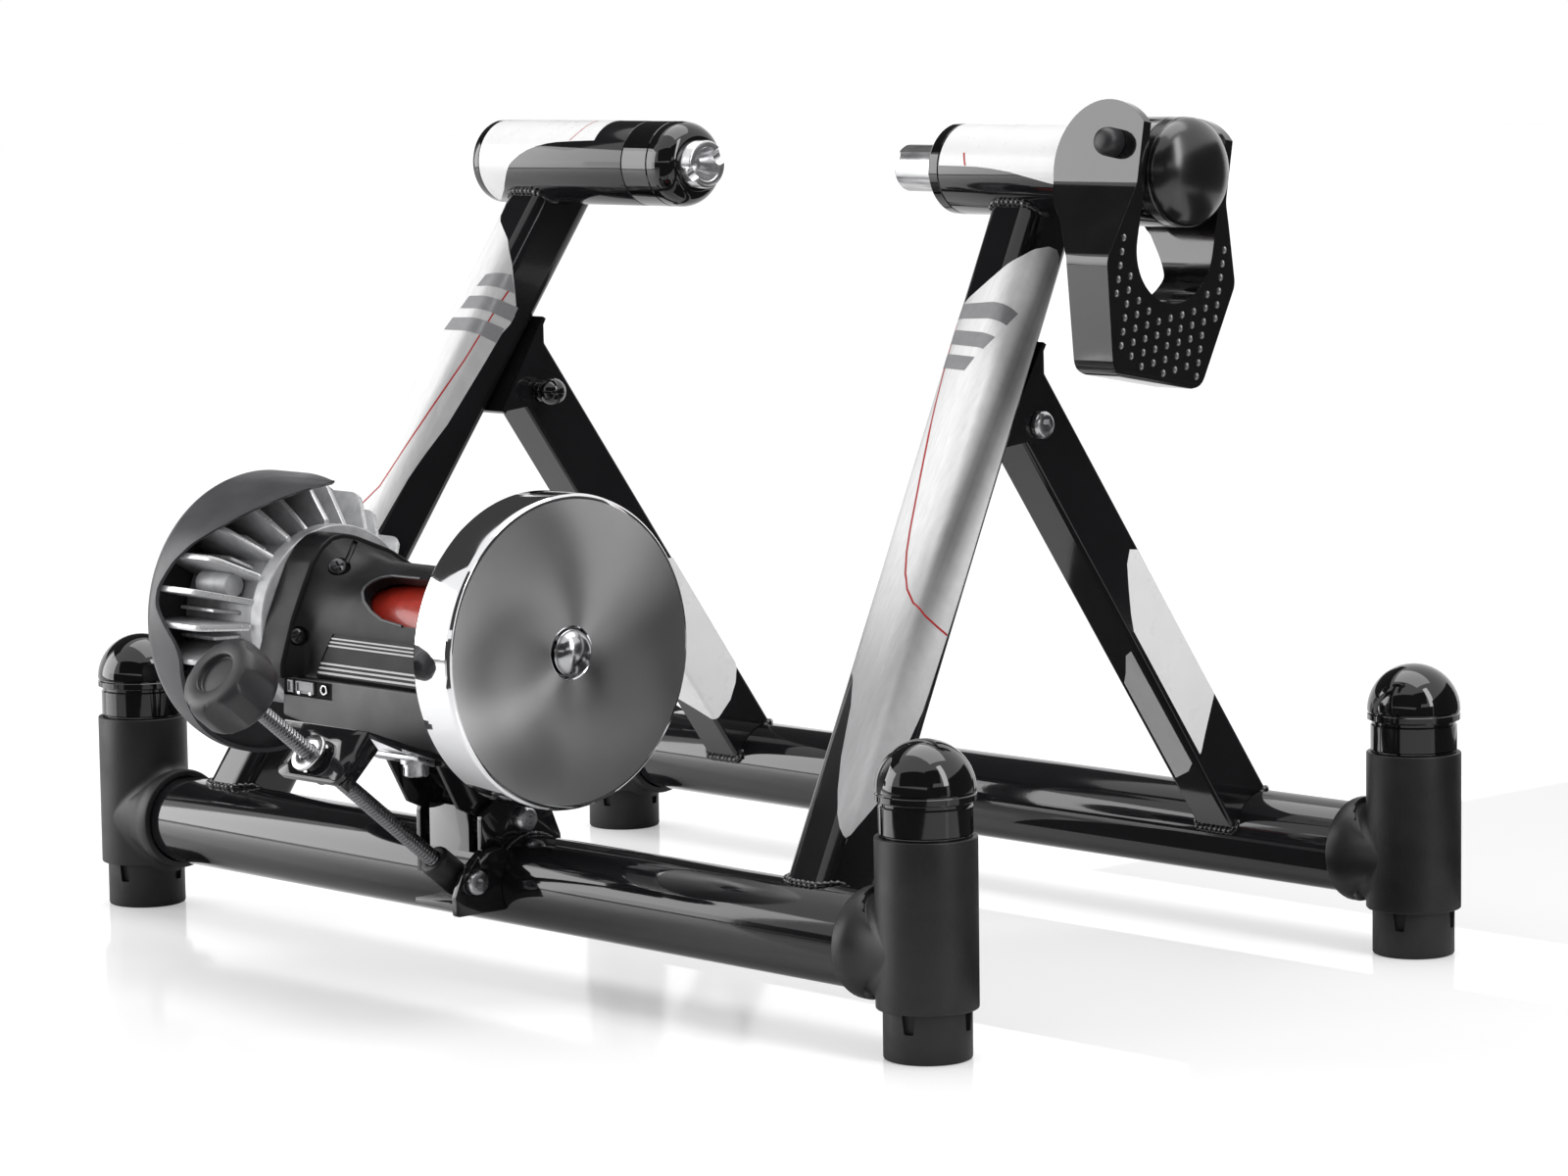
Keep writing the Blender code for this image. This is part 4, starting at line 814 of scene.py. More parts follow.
def draw_struts(m):
    """Strut on each side, cut off behind its leg, with its weld and films."""
    gap = LEG_DEEP / 2 + FIT + 2.5 + 1.2
    slab = [leg_point(a, b) for a, b in ((184, gap), (364, gap), (364, -60), (184, -60))]
    for side, sign in SIDES:
        x = sign * STRUT_X
        tube = Tube((x, FAR_BAR, BAR_Z), (x, 183.5, 271.9), 25.7, 31.9, 2.4, sign)
        strut = plate(f"strut_tube_{side}", tube.section(), -9, tube.length + 60, tube.place())
        carve(strut, plate("bore", tube.section(4, 2.0), -20, tube.length + 80, tube.place()),
              drum("bar", -FOOT_X, FOOT_X, BAR_R + FIT, along_x(FAR_BAR, BAR_Z), 64),
              plate("slab", slab, x - 30, x + 30))
        settle(strut, "far_frame", m["coat"], f"strut_{side}", 30, True)
        weld = bead(f"strut_weld_{side}", tube.meets(FAR_BAR, BAR_Z, BAR_R), 0.95)
        settle(weld, "far_frame", m["coat"], angle=60)
        films = ((("strut_side_film_right", STRUT_SIDE, "white"),
                  ("strut_front_film_right", STRUT_FRONT, "grey_film")) if sign > 0 else
                 (("strut_film_left", STRUT_LEFT, "white"),))
        for name, shape, finish in films:
            settle(tube.film(name, shape, 0.02), "far_frame", m[finish])


# Fold hinges
FOLD = leg_point(FOLD_ALONG, FOLD_OUT)


def hexagon(name, place, a0, a1, radius):
    """Six-sided socket or nut standing on the place's Z."""
    return plate(name, arc(0, 0, radius, 0, 300, 5), a0, a1, place)


def draw_hinges(m):
    """Bent bracket with two rounded ears on the back of each leg, its socket bolt and ball nut."""
    low, high = FOLD_ALONG - 22, FOLD_ALONG + 36
    web = [leg_point(low, 18.0), leg_point(high, 18.0), leg_point(high, 20.5), leg_point(low, 20.5)]
    ear = [leg_point(low, 18.2), leg_point(high, 18.2)]
    for k in range(13):
        a = math.radians(100 - 200 * k / 12)
        ear.append(leg_point(FOLD_ALONG + 10 * math.sin(a), FOLD_OUT + 10 * math.cos(a)))
    for side, sign in SIDES:
        x, inner, outer = sign * STRUT_X, 13.15, 16.15
        bracket = plate(f"fold_bracket_{side}", web, x - outer, x + outer)
        carve(bracket, plate("ear", ear, x - outer, x - inner), plate("ear", ear, x + inner, x + outer),
              operation="UNION")
        carve(bracket, drum("hole", x - 40, x + 40, PIN_HOLE_R, along_x(*FOLD), 32))
        bevelled(bracket, 0.5, 2)
        settle(bracket, "near_frame", m["coat"], f"clevis_{side}", 30)
        pivot = stand((x, *FOLD), (sign, 0, 0))
        neck, head = -16.45, 16.45
        bolt = turned(f"fold_bolt_head_{side}",
                      [(neck - 7.5, 0), (neck - 7.5, 3.6), (neck - 7.1, 4.0), (head, 4.0), (head, 6.4),
                       (head + 0.4, 6.8), (head + 2.6, 6.7), (head + 3.6, 6.0), (head + 4.2, 4.8),
                       (head + 4.2, 0)], pivot, 48)
        carve(bolt, hexagon("socket", pivot, head + 1.8, head + 6, 3.3))
        settle(bolt, "near_frame", m["steel"], f"fold_bolt_{side}", 30)
        ball = [(neck - 9.55 + 7.5 * math.cos(math.radians(a)), 7.5 * math.sin(math.radians(a)))
                for a in range(180, 40, -10)]
        ball[0] = (ball[0][0], 0.0)
        nut = turned(f"fold_ball_nut_{side}", ball + [(neck - 3.4, 6.2), (neck - 0.5, 6.2), (neck, 5.8),
                     (neck, 4.3), (neck - 8.5, 4.3), (neck - 8.5, 0.0)], pivot, 48)
        settle(nut, "near_frame", m["gloss"], f"fold_nut_{side}", 40)


# Axle clamps
def wrapped(name, points, radius, place=HUB, thick=0.12, step=6):
    """Thin film cut to (distance along X, degrees round it) points and wrapped on a barrel.

    The radius is a number, or a function of the angle in radians.
    """
    obj = outline(name, [(a, s, 0.0) for s, a in points])
    low, high = min(a for s, a in points), max(a for s, a in points)
    for k in range(int(low // step) + 1, int(high // step) + 1):
        edit(obj)
        bpy.ops.mesh.bisect(plane_co=(k * step, 0, 0), plane_no=(1, 0, 0))
    edit(obj)
    bpy.ops.mesh.extrude_region_move(TRANSFORM_OT_translate={"value": (0, 0, thick)})
    deselect()
    for vert in obj.data.vertices:
        a, s = math.radians(vert.co.x), vert.co.y
        r = (radius(a) if callable(radius) else radius) + vert.co.z
        vert.co = (s, place[0] + r * math.cos(a), place[1] + r * math.sin(a))
    return mend(obj)


def notch_rim(cup, x, angles):
    """Cut round notches into a cup's rim."""
    for angle in angles:
        a = math.radians(angle)
        way = stand((x, *HUB), (0, math.cos(a), math.sin(a)))
        carve(cup, drum("notch", 4, 20, 4.6, way, 40))


def draw_left_clamp(m):
    """Left barrel with its film, end plug, adjuster ring, rounded nose and notched cup."""
    axis = along_x(*HUB)
    barrel = pipe("barrel_tube_left", -213.0, -96.7, HUB_R, HUB_BORE_R, axis, 96)
    settle(barrel, "near_frame", m["coat"], "hub_barrel_left")
    plug = turned("barrel_plug_left",
                  [(-219.4, 0), (-219.4, 13.6), (-220, 14.2), (-220, 19.6), (-219.6, 20.8), (-218.6, 21.9),
                   (-217.2, 22.5), (-213.3, 22.5), (-213.3, 19.2), (-204, 19.2), (-204, 0)], axis, 96)
    settle(plug, "near_frame", m["gloss"], "hub_end_left", 28)
    ring = turned("adjuster_ring_body",
                  [(-108.4, 12.9), (-108.4, 19.2), (-96.4, 19.2), (-96.4, 22.1), (-96.0, 22.5),
                   (-77.5, 22.5), (-77.1, 22.1), (-77.1, 12.9)], axis, 96)
    settle(ring, "near_frame", m["gloss"], "adjuster_ring", 28)
    shoulder = [(-73.0 + 12 * math.sin(t), 13.2 + 9.3 * math.cos(t))
                for t in (math.radians(6 * k) for k in range(16))]
    nose = turned("adjuster_nose_body", [(-76.8, 12.9), (-76.8, 22.1), (-76.4, 22.5)] + shoulder
                  + [(-61.0, 12.9)], axis, 96)
    settle(nose, "adjuster", m["gloss"], "adjuster_nose", 28)
    x = -53.4
    cup = turned("axle_cup_left",
                 [(-150, 0), (-150, 12.2), (-149.6, 12.6), (x - 0.9, 12.6), (x - 0.3, 12.3), (x, 11.7),
                  (x, 9.2), (x - 0.4, 8.7), (x - 4, 7.4), (x - 10.6, 5.2), (x - 11, 4.8), (x - 11, 0)],
                 axis, 96)
    notch_rim(cup, x + 1.5, (25.0, 205.0))
    settle(cup, "left_cup", m["cup"], "cup_left", 30)
    film = [(-212.6, 30), (-121.7, 30), (-121.7, 146.4), (-138.9, 148.0), (-151.4, 149.7), (-158.9, 152.0),
            (-166.2, 156.0), (-173.4, 161.8), (-179.2, 168.9), (-183.4, 175.7), (-187.0, 182.5),
            (-190.2, 193.0), (-193.0, 204), (-198, 220), (-207.8, 241), (-212.6, 250)]
    settle(wrapped("barrel_film_left", film, HUB_R + 0.02), "near_frame", m["white"])
    line = ribbon([(-141.2, 147.2), (-138.8, 138), (-137.0, 128), (-135.9, 113.9), (-135.4, 100)], 0.7)
    settle(wrapped("barrel_line_left", line, HUB_R + 0.13, thick=0.05), "near_frame",
           m["pin"])


def draw_right_clamp(m):
    """Right barrel with its film, collar, cup, cam housing and domed end."""
    axis = along_x(*HUB)
    collar = turned("barrel_collar_right",
                    [(131, 12.1), (131, 21.2), (131.4, 22.0), (132.2, 22.5), (137.7, 22.5), (138, 22.2),
                     (138, 19.2), (151, 19.2), (151, 12.1)], axis, 96)
    settle(collar, "near_frame", m["gloss"], "hub_collar_right", 28)
    barrel = pipe("barrel_tube_right", 138.3, 235.7, HUB_R, HUB_BORE_R, axis, 96)
    settle(barrel, "near_frame", m["coat"], "hub_barrel_right")
    x = 97.0
    cup = turned("axle_cup_right",
                 [(x + 11, 0), (x + 11, 5.0), (x + 4, 7.4), (x + 0.4, 7.9), (x, 8.4), (x, 10.9),
                  (x + 0.3, 11.5), (x + 0.9, 11.8), (214.6, 11.8), (215, 11.4), (215, 7), (249.2, 7),
                  (249.6, 6.6), (249.6, 0)], axis, 96)
    notch_rim(cup, x - 1.5, (155.0, 335.0))
    settle(cup, "right_cup", m["cup"], "cup_right", 30)
    housing = pipe("cam_housing_tube", 236.0, 275.0, 26.2, 18.5, axis, 96, 0.6)
    carve(housing, drum("pin_hole", -40, 40, 5.4, lever_pin(), 40))
    settle(housing, "near_frame", m["gloss"], "cam_housing", 30)
    end = turned("end_dome_body",
                 [(275.3, 0), (275.3, 25.4), (275.8, 26.2), (281.0, 26.2), (281.5, 25.7), (282.1, 25.7),
                  (282.5, 26.1), *dome(282.3, 13.7, 26.2, range(6, 90, 6)), (296.0, 0)], axis, 96)
    settle(end, "near_frame", m["dome"], "end_dome", 30)
    film = [(139.2, 20), (235.2, 20), (235.2, 200), (224, 198.5), (212.3, 193.6), (199.8, 187.3),
            (186.8, 180.7), (175.2, 177.1), (165.2, 175.3), (155.1, 174.7), (139.2, 174.2)]
    settle(wrapped("barrel_film_right", film, HUB_R + 0.02), "near_frame", m["white"])
    tick = ribbon([(155.2, 157.6), (157.4, 174.0)], 1.3)
    settle(wrapped("barrel_tick_right", tick, HUB_R + 0.13, thick=0.05), "near_frame",
           m["pin"])


def lever_tilt():
    """Matrix that leans the upright lever into its closed place on the axle line."""
    return Matrix.Translation((0, *HUB)) @ Matrix.Rotation(math.radians(-10), 4, "X")


def lever_pin():
    """Frame of the pin, its Z along the pin."""
    tilt = lever_tilt()
    return stand(tilt @ Vector((264.0, 0.0, 9.0)), tilt.to_3x3() @ Vector((0, 1, 0)))


def edge_distance(point, ring):
    """Distance from a point to an outline, negative outside it."""
    p, inside, near = Vector(point), False, 1e9
    for i, a in enumerate(ring):
        a, b = Vector(a), Vector(ring[(i + 1) % len(ring)])
        t = max(0.0, min(1.0, (p - a).dot(b - a) / (b - a).length_squared))
        near = min(near, (p - a.lerp(b, t)).length)
        if (a.y > p.y) != (b.y > p.y) and p.x < (b.x - a.x) * (p.y - a.y) / (b.y - a.y) + a.x:
            inside = not inside
    return near if inside else -near


def draw_lever(m):
    """Forked clamp lever with rounded edges, its grip studs and pin."""
    tilt, pin = lever_tilt(), lever_pin()
    out, slot = 32.0, 26.8
    front = [(-out, 36), (-out, -10), (-out - 14, -48), (-out + 1, -101), (out - 1, -101),
             (out + 14, -48), (out, -10), (out, 36), (slot, 36)]
    front = soften(front, [0, 14, 10, 9, 9, 10, 14, 0, 0], 5)
    front += arc(0, -36, slot, 0, -180, 28) + [(-slot, 36)]
    lever = plate("lever_fork", front, 214.0, 294.0)
    side = arc(257.5, -1.5, 31.5, 42, 235, 30)
    tail = [(254, -48), (254, -101), (279, -101), (281, -20)]
    side += soften([side[-1]] + tail + [side[0]], [0, 7, 3, 3, 20, 0], 4, closed=False)[1:-1]
    profile = plate("profile", side, -60.0, 60.0, XZ)
    carve(lever, profile, operation="INTERSECT")
    mend(lever)
    lever.data.transform(tilt)
    carve(lever, drum("pin_hole", -50, 50, 5.3, pin, 40))
    bevelled(lever, 1.7, 4, 40)
    settle(lever, "clamp_lever", m["lever"], "lever", 30, True)
    studs, margin = [], 4.6
    for k in range(12):
        for j in range(-12, 12):
            y, z = -44.3 + 7.9 * k, -58.7 + 2.6 * k + 6.6 * j
            if z > -20 or edge_distance((y, z), front) < margin:
                continue
            deselect()
            bpy.ops.mesh.primitive_uv_sphere_add(segments=12, ring_count=8, radius=1.0)
            stud = bpy.context.object
            x = 281.0 + (z + 20) * 2.0 / 81.0
            stud.data.transform(tilt @ Matrix.Translation((x, y, z)) @ Matrix.Diagonal((1.3, 1.15, 1.9, 1)))
            studs.append(stud)
    settle(join("lever_studs", *studs), "clamp_lever", m["stud"], angle=60)
    knob = turned("lever_pin_stud", [(-42.5, 0), (-42.4, 2.5), (-41.9, 4.4), (-40.9, 5.7), (-39.4, 6.5),
                                     (-37.5, 6.9), (-32.9, 7.0), (-32.3, 6.7), (-32.3, 4.9), (33, 4.9),
                                     (33, 0)], pin, 56)
    settle(knob, "clamp_lever", m["knob"], "lever_pin", 40)


# Brackets, rod and knob
def draw_brackets(m):
    """Pivot bracket and hook bracket on the near bar, with their pins."""
    ear = soften([(-30.9, 52.2), (-30.9, 86.1), (-13, 97.1), (6, 95.1), (14, 84.1), (20, 70.1),
                  (21, 52.2)], [2, 7, 6, 6, 4, 2, 2], 4)
    bracket = plate("pivot_bracket", ear, -28, -25)
    carve(bracket, plate("ear", ear, 19, 22), block("web", -27.9, 21.9, -30.8, -27.9, 52.3, 66.1),
          block("web", -18, 12, -30.7, -28.0, 60.2, 88.1), operation="UNION")
    carve(bracket, drum("bar", -60, 60, BAR_R + FIT, along_x(0, BAR_Z), 96),
          drum("hole", -60, 60, PIN_HOLE_R, along_x(*PIVOT), 32))
    bevelled(bracket, 0.45, 2)
    settle(bracket, "near_frame", m["coat"], "bar_bracket", 30)
    for k, x in enumerate((-28.6, 22.6)):
        line = [(x, y, z) for y, z in arc(0, BAR_Z, BAR_R + 0.6, 48, 168, 20)]
        settle(bead(f"bracket_weld_{k + 1}", line, 0.7, closed=False), "near_frame",
               m["coat"], angle=60)
    bolt = turned("unit_pivot_bolt",
                  [(-34, 0), (-34, 5.2), (-33.6, 5.6), (-29.0, 6.5), (-28.3, 6.2), (-28.3, 4), (22.3, 4),
                   (22.3, 6.6), (24.2, 6.6), (25.6, 6.0), (26.6, 5.0), (27, 3.2), (27, 0)],
                  along_x(*PIVOT), 48)
    carve(bolt, hexagon("socket", along_x(*PIVOT), 24.8, 30, 2.6))
    settle(bolt, "near_frame", m["steel"], "pivot_bolt", 30)
    x, y, z = ROD_FOOT
    hook = block("rod_hook", x - 17, x + 14, y - 12, y + 25, z - 12.5, z - 9.5)
    side = soften([(y - 12, z - 16), (y + 25, z - 16), (y + 25, z + 12), (y + 16, z + 15), (y + 4, z + 15),
                   (y - 7, z + 6), (y - 12, z - 6)], [2, 0.5, 2, 3, 7, 7, 5], 4)
    carve(hook, plate("cheek", side, x + 11.1, x + 14.1), operation="UNION")
    carve(hook, drum("bar", -60, 60, BAR_R + FIT, along_x(0, BAR_Z), 96),
          drum("hole", x, x + 40, PIN_HOLE_R, along_x(y, z), 32))
    bevelled(hook, 0.45, 2)
    settle(hook, "near_frame", m["coat"], "hook_bracket", 30)
    pin = turned("rod_block_pin",
                 [(x - 9.5, 0), (x - 9.5, 3.6), (x - 9.1, 4), (x + 14.4, 4), (x + 14.4, 5.8), (x + 14.7, 6),
                  (x + 16.9, 6), (x + 17.7, 5.5), (x + 18, 4.8), (x + 18, 0)], along_x(y, z), 48)
    carve(pin, hexagon("socket", along_x(y, z), x + 16, x + 20, 2.4))
    settle(pin, "near_frame", m["steel"], "block_pin", 30)


LUG_AT, LUG_LOW, KNOB_AT = 108.195, -12.0, 154.695
LUG_UP = Vector((0.0, math.sin(ROD_ANGLE), -math.cos(ROD_ANGLE)))
ROD_BORE_R = 4.5


def rod_place():
    """Frame of the rod, its Z along the rod."""
    return stand(ROD_FOOT, ROD_RUN)


def draw_rod(m):
    """Pivot block, threaded rod, scalloped knob, knurled nut and washer."""
    place = rod_place()
    block_body = turned("rod_pivot_block",
                        [(-7, 0), (-7, 3.4), (-6.4, 4.6), (-5, 6.4), (-3, 7.5), (-1, 8), (16.6, 8),
                         (18, 7.6), (18.8, 6.8), (19, 6.2), (19, 0)], place, 56)
    carve(block_body, drum("bore", 6.5, 30, ROD_BORE_R, place, 40),
          drum("cross", -40, 40, PIN_HOLE_R, along_x(ROD_FOOT.y, ROD_FOOT.z), 40))
    settle(block_body, "rod_pivot", m["moulded"], "rod_block", 30)
    pitch = bpy.context.scene.trainer_look.thread_pitch * 1000
    low, high, cols = 7.0, KNOB_AT + 6, 24
    rows = int((high - low) / pitch * 7) + 1

    def thread(i, j):
        s = low + (high - low) * i / (rows - 1)
        phase = (s / pitch - j / cols) % 1.0
        ridge = 1 - abs(2 * phase - 1)
        fade = min(1.0, (s - low) / 1.5)
        r = 3.62 + 0.56 * min(1.0, 1.25 * ridge) * fade
        a = math.tau * j / cols
        return place @ Vector((r * math.cos(a), r * math.sin(a), s))

    rod = woven("threaded_rod_body", rows, cols, thread)
    close_ends(rod)
    settle(rod, "threaded_rod", m["rod"], "rod", 25)
    draw_knob(m, place)
    s, bore, knurls = LUG_AT - 1.9, ROD_BORE_R, 60
    profile = [(s + 7, bore, 0), (s + 7, 5.7, 0), (s + 6.7, 6, 0), (s, 6, 0), (s, 8.0, 0),
               (s - 0.4, 8.4, 0.1), (s - 1.0, 8.5, 0.4), (s - 6.4, 8.5, 0.4), (s - 7.0, 8.4, 0.1),
               (s - 7.4, 8.0, 0), (s - 7.4, bore, 0), (s + 7, bore, 0)]

    def knurl(i, j):
        z, r, cut = profile[i]
        a = math.tau * j / (knurls * 2)
        rr = r - cut * (j % 2)
        return place @ Vector((rr * math.cos(a), rr * math.sin(a), z))

    nut = woven("rod_nut_body", len(profile), knurls * 2, knurl)
    settle(nut, "travelling_nut", m["moulded"], "rod_nut", 40)
    washer = pipe("rod_washer_disc", s + 7.3, s + 9.6, 9.8, bore, place, 64, 0.5)
    settle(washer, "travelling_nut", m["bright"], "rod_washer", 40)


def draw_knob(m, place):
    """Rubber knob with six scallops and a dished face, shaped as one turned skin."""
    k, end, cols = KNOB_AT, KNOB_AT + 30.0, 180
    skin = [(k, 4.6, 0), (k, 8.6, 0), (k + 0.5, 9.5, 0), (k + 2, 12, 0), (k + 4.5, 16.5, 0.2),
            (k + 7, 19.6, 0.7), (k + 9, 21.0, 1), (k + 11, 21.8, 1), (k + 14, 22, 1), (k + 18, 22, 1),
            (k + 22, 22, 1), (k + 25, 21.6, 1), (k + 27, 20.8, 1), (k + 28.6, 19.4, 0.85),
            (k + 29.6, 17.6, 0.5), (end, 15.4, 0.1), (end, 11.6, 0), (end - 0.15, 11.0, 0),
            (end - 0.5, 10.6, 0), (end - 2.6, 10.2, 0), (end - 3.0, 9.7, 0), (end - 2.7, 6.0, 0),
            (end - 2.6, 0.05, 0)]

    def scallop(a, r):
        """Radius r, or less where one of six round bowls dips into it."""
        off = (a + math.pi / 6) % (math.pi / 3) - math.pi / 6
        middle, bowl, soft = 30.5, 11.6, 0.6
        if abs(math.sin(off)) * middle >= bowl:
            return r
        dip = middle * math.cos(off) - math.sqrt(bowl ** 2 - (middle * math.sin(off)) ** 2)
        h = max(0.0, min(1.0, 0.5 + (r - dip) / (2 * soft)))
        return r + (dip - r) * h - soft * h * (1 - h)

    def point(i, j):
        z, r, share = skin[i]
        a = math.tau * j / cols
        rr = r + (scallop(a, r) - r) * share if share else r
        return place @ Vector((rr * math.cos(a), rr * math.sin(a), z))

    knob = woven("rod_knob", len(skin), cols, point)
    close_ends(knob)
    carve(knob, drum("bore", k - 5, k + 6.3, ROD_BORE_R, place, 40))
    settle(knob, "threaded_rod", m["knob"], "knob", 38)


# Roller unit
def plate_z(y):
    """Height of the sloping base plate's underside."""
    return 120.0 + (-76.0 - y) * 0.374


def lug(s, b):
    """Point (y, z) on the lug, s along the rod and b across it."""
    p = ROD_FOOT + ROD_RUN * (LUG_AT + s) + LUG_UP * b
    return (p.y, p.z)


def lug_place():
    """Frame of the lug: X along the bars, Y across the rod, Z along it."""
    rot = Matrix(((1, 0, 0), LUG_UP, ROD_RUN)).transposed().to_4x4()
    p = ROD_FOOT + ROD_RUN * LUG_AT
    return Matrix.Translation((0.0, p.y, p.z)) @ rot


def draw_base(m):
    """Sloping base plate with its side flanges and the lug that the rod passes."""
    front, back, left, right = lug(0, 17)[0] - 1.4, -6.0, -23.7, 41.0
    sheet = [(back, plate_z(back)), (front, plate_z(front)), (front, plate_z(front) + 3),
             (back, plate_z(back) + 3)]
    base = plate("base_sheet", sheet, left, right)
    carve(base, block("relief", 18, right + 20, -50, 20, 80, 130))
    flange = [(-54, plate_z(-54) + 1), (-41, 89), *arc(*PIVOT, 7.5, 235, 350, 12),
              (PIVOT[0] + 8.5, PIVOT[1] + 7.5), (back - 0.5, plate_z(back - 0.5) + 1)]
    near, far, top = right - 0.1, ROD_FOOT.x - 21, 17.0
    corners = [(near, LUG_LOW), (far, LUG_LOW), (far, top), (near, top)]
    tongue = plate("lug", soften(corners, [6, 6, 0, 0], 5), 0.0, 3.0, lug_place())
    edge = [lug(-8, 14), lug(-5, LUG_LOW + 0.1), lug(0.4, LUG_LOW + 0.1), lug(0.4, 16)]
    carve(base, plate("flange", flange, left + 0.1, left + 2.5), plate("flange", flange, 15.2, 17.7),
          tongue, plate("edge", edge, right - 2.8, right - 0.2), operation="UNION")
    carve(base, drum("hole", -60, 60, PIN_HOLE_R, along_x(*PIVOT), 32),
          drum("rod_hole", LUG_AT - 25, LUG_AT + 20, 8.8, rod_place(), 56))
    bevelled(base, 0.4, 2)
    settle(base, "roller_unit", m["coat"], "base_plate", 30)


def draw_clamp_nut(m):
    """Steel strip with a castle nut, which clamps the housing to the base plate from below."""
    low, y, x = plate_z(-70) - 8.6, -70.0, 20.7
    strip = [(y + 5, plate_z(y + 5) - 2.2), (y + 5, plate_z(y + 5)), (y - 5.5, plate_z(y - 5.5)),
             (y - 5.5, plate_z(y - 5.5) - 2.2)]
    settle(plate("clamp_strip", strip, -14, 29, bevel=0.4), "roller_unit", m["steel"])
    spot = Matrix.Translation((x, y, low))
    nut = turned("clamp_nut", [(0, 0), (0, 5.4), (0.7, 6.3), (6.0, 6.3), (6.4, 7.6), (8.4, 7.6), (8.4, 0)],
                 spot, 48)
    for k in range(6):
        notch = block("notch", 4.4, 9, -0.9, 0.9, -1, 4.6)
        notch.data.transform(spot @ Matrix.Rotation(math.radians(60 * k + 12), 4, "Z"))
        carve(nut, notch)
    carve(nut, drum("bore", -1, 3, 2.6, spot, 24))
    settle(nut, "roller_unit", m["steel"], angle=30)


BOSS_ANGLES = (157.5, 52.5)


def draw_brake(m):
    """Ribbed aluminium heat sink: drum, flange, tall and short fins with a painted highlight on their
    edges, screw bosses.
    """
    axis, roller_axis = along_x(*BRAKE), along_x(*UNIT)
    start, end, flange = -147.2, -80.3, -90.0
    sink = turned("sink_drum", [(start, 0), (start, 44.2), (start + 0.8, 45), (flange - 1.2, 45),
                                (flange, 46.2), (flange, 47.2), (flange + 0.8, 48), (end - 0.6, 48),
                                (end, 47.4), (end, 0)], axis, 128)
    carve(sink, drum("bore", -170, flange - 2, 36, roller_axis, 64),
          drum("shaft_bore", flange - 10, end + 20, SHAFT_HOLE_R, roller_axis, 40))
    sink.data.materials.append(m["alu"])
    sink.data.materials.append(m["alu_edge_highlight"])
    thick = bpy.context.scene.trainer_look.fin_thickness * 1000
    pieces, root, step = [sink], 43.5, 7.5
    for number in range(48):
        angle, tall = number * step, number % 2 == 0
        if 228 < angle < 312 or angle in BOSS_ANGLES:
            continue
        if tall:
            cut = 6 * (number // 2 % 2)
            shape = [(start + 2.2, root), (start + 2.2, 62), (start + 8.2, 69), (flange - 14 - cut, 69),
                     (flange + 2.5, 50 - cut / 2), (flange + 2.5, root)]
            fin = plate("fin", soften(shape, [0, 3, 4, 13, 1.5, 0], 6), -thick / 2, thick / 2, XZ, 0.6, 2)
        else:
            shape = [(start + 6, root), (start + 6, 52), (start + 8, 54), (flange - 22, 54),
                     (flange - 12, 46), (flange - 12, root)]
            fin = plate("fin", soften(shape, [0, 1, 1, 4, 2, 0], 3), -0.9, 0.9, XZ, 0.3, 1)
        fin.data.materials.append(m["alu"])
        fin.data.materials.append(m["alu_edge_highlight"])
        # Painted highlight: edge faces take the lighter edge finish, flat sides the plain cast finish.
        for face in fin.data.polygons:
            face.material_index = 0 if abs(face.normal.y) > 0.6 else 1
        turn = Matrix.Rotation(math.radians(angle - 90), 4, "X")
        fin.data.transform(Matrix.Translation((0, *BRAKE)) @ turn)
        pieces.append(fin)
    for angle in BOSS_ANGLES:
        a = math.radians(angle)
        spot = along_x(BRAKE[0] + 52 * math.cos(a), BRAKE[1] + 52 * math.sin(a))
        boss = turned("boss", [(-126, 3.4), (-126, 5.6), (-125.4, 6.2), (-103, 6.2), (-101.8, 5.6),
                               (-101.8, 0), (-123, 0), (-123, 3.4)], spot, 32)
        boss.data.materials.append(m["alu"])
        pieces.append(boss)
        screw = turned(f"sink_screw_{int(angle)}",
                       [(-127.6, 0), (-127.6, 2.0), (-127.0, 3.4), (-125.9, 4.4), (-124.5, 4.4),
                        (-124.5, 0)], spot, 24)
        for turn in (0, 90):
            slot = block("slot", -129, -126.4, -2.2, 2.2, -0.5, 0.5)
            slot.data.transform(Matrix.Translation(spot.translation)
                                @ Matrix.Rotation(math.radians(turn), 4, "X"))
            carve(screw, slot)
        settle(screw, "roller_unit", m["steel"], angle=30)
    whole = join("heat_sink_body", *pieces)
    settle(whole, "roller_unit", None, "heat_sink", 32)


